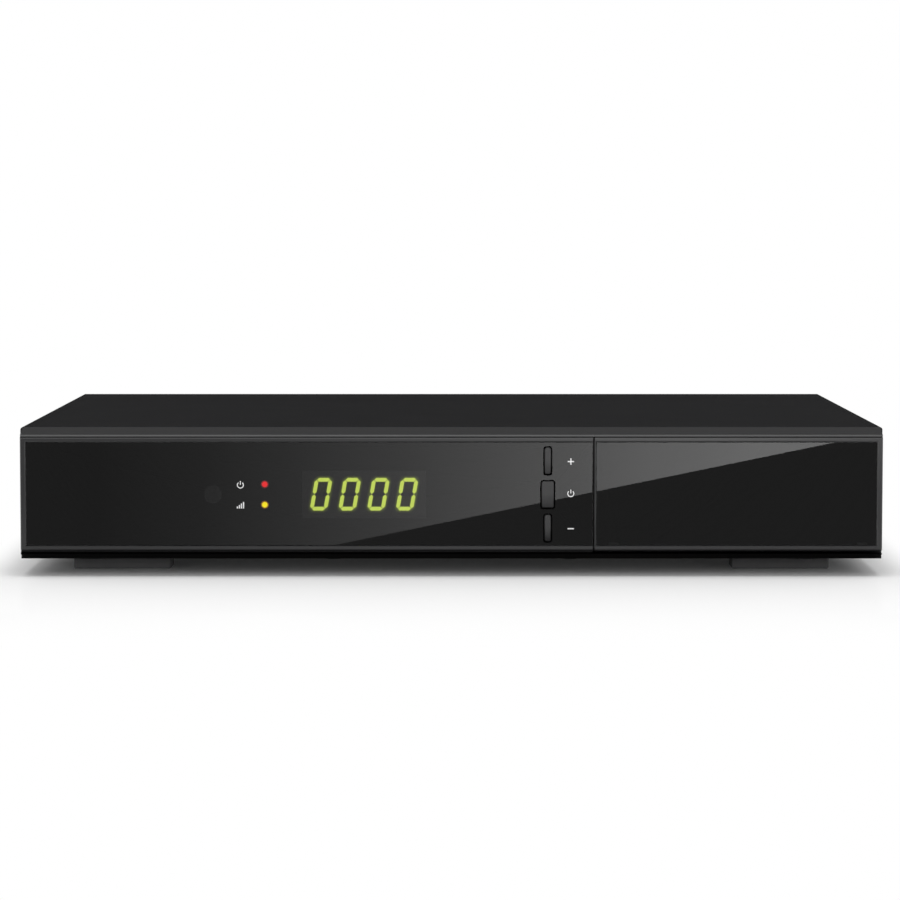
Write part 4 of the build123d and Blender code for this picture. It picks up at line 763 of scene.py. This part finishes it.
sizes = [(label, "Float") for label in ("Radius", "Length", "Turns", "Ridge")]
tree, given, placed = placing_tree("thread", (*sizes, ("Material", "Material")))
spiral = {"Resolution": 40, "Rotations": given["Turns"], "Height": given["Length"]}
spiral |= {"Start Radius": given["Radius"], "End Radius": given["Radius"]}
helix = add(tree, "GeometryNodeCurveSpiral", spiral)
ridge = add(tree, "GeometryNodeCurvePrimitiveCircle", {"Resolution": 4, "Radius": given["Ridge"]})
sweep = {"Curve": helix, "Profile Curve": ridge, "Fill Caps": True}
wire(placed, {"Instance": add(tree, "GeometryNodeCurveToMesh", sweep)})

low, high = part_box("lnb_sockets")
middle_x, _, tuner_z = middle((low, high))
socket_spacing, nut_height, nut_flats = 0.016, 0.0025, 0.011
sockets = (("out", middle_x - socket_spacing / 2), ("in", middle_x + socket_spacing / 2))
panel_y, tip_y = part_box("base_chassis")[1][1], high[1]
nut_y = panel_y + nut_height
thread_turns, thread_radius, thread_ridge, thread_start = 10, 0.00442, 0.00027, 0.0004
thread_pitch = 0.0254 / 32
thread_length = thread_turns * thread_pitch
threads = grown(
    "lnb_socket_threads",
    "case",
    tree,
    [(x, tip_y - thread_start - thread_length, tuner_z) for _, x in sockets],
    [aimed((0, 1, 0), 0.0)] * 2,
    (1, 1, 1),
    {
        "Radius": thread_radius,
        "Length": thread_length,
        "Turns": float(thread_turns),
        "Ridge": thread_ridge,
        "Material": nickel,
    },
)
circle_steps = 48
circle = [math.tau * i / circle_steps for i in range(circle_steps)]


def hexagon(angle):
    """The nut's reach from its middle in this direction, with a flat on top."""
    return nut_flats / 2 / math.cos((angle + math.pi / 6) % (math.pi / 3) - math.pi / 6)


def disc(radius):
    """The same reach in every direction."""
    return [radius] * circle_steps


nut = [hexagon(angle) for angle in circle]
nut_rim, collar, barrel, barrel_tip, mouth, bore = 0.00545, 0.0047, 0.00435, 0.0041, 0.0036, 0.0034
panel_in, panel_out, floor_y = panel_y - 0.0009, panel_y + 0.00002, nut_y - 0.0009
turned = (
    (disc(collar), panel_in),
    (disc(collar), panel_out),
    (nut, panel_out),
    (nut, nut_y - 0.0004),
    (disc(nut_rim), nut_y),
    (disc(collar), nut_y),
    (disc(collar), nut_y + 0.0003),
    (disc(barrel), nut_y + 0.0005),
    (disc(barrel), tip_y - 0.0005),
    (disc(barrel_tip), tip_y),
    (disc(mouth), tip_y),
    (disc(bore), tip_y - 0.0002),
    (disc(bore), floor_y),
)
for side, x in sockets:
    loops = [
        [(x + r * math.cos(a), y, tuner_z + r * math.sin(a)) for a, r in zip(circle, reach)]
        for reach, y in turned
    ]
    mesh = rings("lnb_socket_" + side, loops, [(x, panel_in, tuner_z), (x, floor_y, tuner_z)])
    socket = shown("lnb_socket_" + side, mesh)
    coat(nickel, socket)
    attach(socket, "case")
    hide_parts("lnb_sockets")

# ---- mains rocker ----
# The rocker of the mains switch is moulded in satin black nylon. Its on and off marks are pad-printed
# in white on the two halves of its face, a bar above and a ring below.


def moulded(name, colour, roughness, grain_width=0.714):
    """A plain moulded material in one colour, with a slight grain of this width in millimetres."""
    inputs = {"Base Color": linear(colour), "Roughness": roughness, "IOR": 1.5}
    material, tree, shader, place = finish(name, inputs)
    grain = {"Vector": place, "Scale": scale_for(grain_width), "Detail": 2.0}
    grain = add(tree, "ShaderNodeTexNoise", grain)
    bump = add(tree, "ShaderNodeBump", {"Height": grain, "Strength": 0.15, "Distance": 0.00006})
    wire(shader, {"Normal": bump})
    return material


coat(moulded("black_nylon_satin", "1c1c1d", 0.42), node["mains_rocker"])


def on_surface(target, outline, lift):
    """The outline's points, thrown onto the target from behind and lifted a little off it."""
    to_target = target.matrix_world.inverted()
    forward = to_target.to_3x3() @ mathutils.Vector((0, -1, 0))
    behind_y = 0.12
    points = []
    for x, z in outline:
        _, place, normal, _ = target.ray_cast(to_target @ mathutils.Vector((x, behind_y, z)), forward)
        points.append(tuple(target.matrix_world @ (place + lift * normal)))
    return points


rocker_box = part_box("mains_rocker")
rocker_x, _, rocker_z = middle(rocker_box)
quarter = (rocker_box[1][2] - rocker_box[0][2]) / 4
ring_outer, ring_inner, bar_width, bar_height, ink_lift = 0.0011, 0.0008, 0.0003, 0.0022, 2e-5
ring_steps = 24
ring_turns = [math.tau * i / ring_steps for i in range(ring_steps)]
outer = circle_points(rocker_x, rocker_z - quarter, ring_outer, ring_turns)
inner = circle_points(rocker_x, rocker_z - quarter, ring_inner, ring_turns)
target = node["mains_rocker"]
edges = ((outer, 0.0), (outer, ink_lift), (inner, ink_lift), (inner, 0.0))
loops = [on_surface(target, edge, lift) for edge, lift in edges]
made("rocker_off_mark", "mains_rocker", ink, sum(loops, []), joined_loops(loops))
bar = bar_mark(rocker_x, rocker_z + quarter, bar_width, bar_height)
points = on_surface(target, bar, 0.0) + on_surface(target, bar, ink_lift)
faces = [(0, 1, 2, 3), (7, 6, 5, 4)]
faces += [(i, (i + 1) % 4, 4 + (i + 1) % 4, 4 + i) for i in range(4)]
made("rocker_on_mark", "mains_rocker", ink, points, faces)

# ---- heat sinks and transformer ----
# The sinks are extruded aluminium, with die lines 0.45 mm apart, coarser than real ones so that they
# show. The cores of the transformer and the choke are dark sintered ferrite.

line_spacing = 0.00045
waves_per_unit = 20 / math.tau
inputs = {"Base Color": linear("b9bbbd"), "Metallic": 1.0, "Roughness": 0.35}
aluminium, tree, shader, place = finish("extruded_aluminium", inputs)
lines = {"Vector": place, "Scale": 1 / line_spacing / waves_per_unit, "Distortion": 1.0}
lines = add(tree, "ShaderNodeTexWave", lines).outputs["Fac"]
bump = add(tree, "ShaderNodeBump", {"Height": lines, "Strength": 0.1, "Distance": 0.00005})
wire(shader, {"Normal": bump})
coat(aluminium, node["power_heat_sink"], node["processor_heat_sink"])
coat(moulded("sintered_ferrite", "323234", 0.6, 1.11), node["power_transformer"], node["power_choke"])

# ---- capacitors, leads and connectors ----
# The electrolytic capacitors wear a glossy blue shrink sleeve. The leads are brown PVC wire and grey
# flat cable, and their connectors and the aerial sockets' insulators are natural nylon.

coat(moulded("blue_shrink_sleeve", "1b2a4a", 0.25), node["power_capacitors"], node["board_capacitors"])
coat(moulded("grey_flat_cable", "b9b9b6", 0.5), node["ribbon_cable"])
coat(moulded("brown_wire_insulation", "3b2a22", 0.45), node["power_harness"])
coat(moulded("natural_nylon", "e6e2d6", 0.45), node["ribbon_sockets"], node["lnb_insulators"])

# ---- phono inserts ----
# The rings in the phono sockets are moulded in coloured ABS: yellow for the picture, white for the
# left sound channel and red for the right one.

coat(moulded("yellow_abs", "e2c21e", 0.35), node["av_insert_video"])
coat(moulded("white_abs", "ecebe6", 0.35), node["av_insert_audio_left"])
coat(moulded("red_abs", "c62a26", 0.35), node["av_insert_audio_right"])

# ---- feet ----
# Four dark grey rubber feet, each with a peg pressed into the tray's floor. The rubber is dull, with
# a pale bloom in patches of about 4 mm.

rubber, tree, shader, place = finish("dark_grey_rubber", {"Roughness": 0.75, "IOR": 1.52})
bloom = add(tree, "ShaderNodeTexNoise", {"Vector": place, "Scale": scale_for(3.85), "Detail": 4.0})
shades = {"Factor": bloom, "A": linear("636364"), "B": linear("717172")}
shade = add(tree, "ShaderNodeMix", shades, data_type="RGBA")
bump = add(tree, "ShaderNodeBump", {"Height": bloom, "Strength": 0.3, "Distance": 0.0001})
wire(shader, {"Base Color": shade, "Normal": bump})
coat(rubber, *[node["foot_" + end + "_" + side] for end in ("front", "rear") for side in ("left", "right")])
